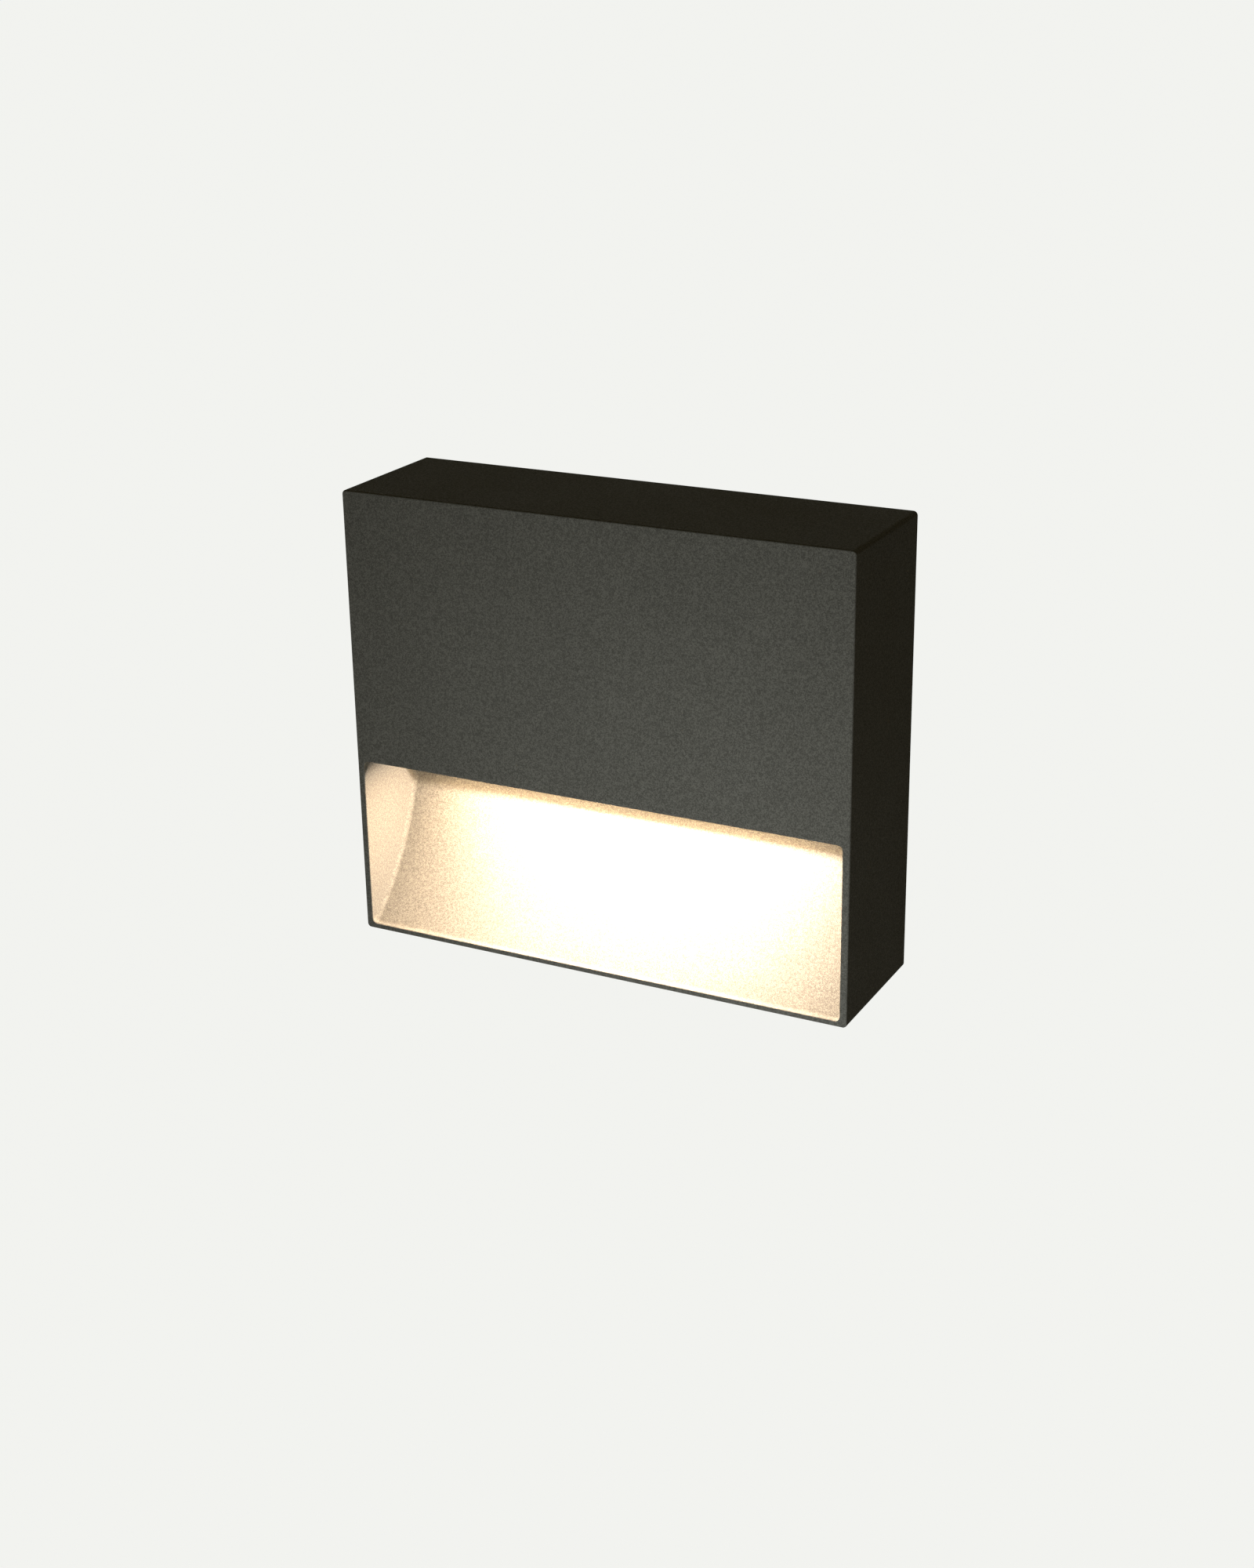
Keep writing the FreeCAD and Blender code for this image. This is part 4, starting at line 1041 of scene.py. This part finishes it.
# sizes are width and height, and spread is in degrees
softBoxes = {
    "keyBox": {"place": (0.075, -0.3, -0.16), "target": (0.03, -0.04, -0.01), "size": (0.12, 0.14),
               "power": 0.44, "colour": (0.965, 1.0, 1.05), "spread": 100},
    "leftBox": {"place": (-1.6, 0.1, -0.12), "target": (-0.07, 0.0, 0.0), "size": (0.16, 0.3),
                "power": 0.5, "colour": (1.0, 0.97, 0.92), "spread": 40},
    "backBox": {"place": (-0.06, 1.6, -0.12), "target": (-0.02, 0.0, 0.0), "size": (0.16, 0.3),
                "power": 0.3, "colour": (1.0, 0.98, 0.95), "spread": 40},
}


def addSoftBoxes():
    for name, box in softBoxes.items():
        made = addLamp(name, box["place"], *box["size"], box["power"], box["colour"])
        made.data.spread = math.radians(box["spread"])
        made.rotation_mode = "QUATERNION"
        made.rotation_quaternion = (Vector(box["target"]) - Vector(box["place"])).to_track_quat("-Z", "Y")


# the light of the LED row: a narrow bright core, and the wider and warmer scatter of the lens
stripLights = {
    "ledGlow": {"power": 1.2, "width": 1.0 * mm, "longer": 0.0, "right": 8 * mm, "behind": 1.25 * mm,
                "colour": (1.0, 0.82, 0.74)},
    "lensScatter": {"power": 0.9, "width": 3.6 * mm, "longer": 15 * mm, "right": -1 * mm,
                    "behind": -0.1 * mm, "colour": (1.0, 0.67, 0.41)},
}
stripBelow = 0.12 * mm               # under the LED faces


def addStripLights():
    low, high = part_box("led_chips")
    for name, strip in stripLights.items():
        place = ((low.x + high.x) / 2 + strip["right"], (low.y + high.y) / 2 + strip["behind"],
                 low.z - stripBelow)
        made = addLamp(name, place, high.x - low.x + strip["longer"], strip["width"], strip["power"],
                       strip["colour"])
        made.visible_transmission = False    # through the lens, only the LEDs themselves show
        made.visible_glossy = False
        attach(made, "light_head")
    parts["lens_window"].visible_shadow = False    # the lens lets the strips' light through


buildCamera()
buildFloor()
buildWorld()
addSoftBoxes()
addStripLights()
bpy.context.scene.view_settings.view_transform = "Standard"
print("studio ready")
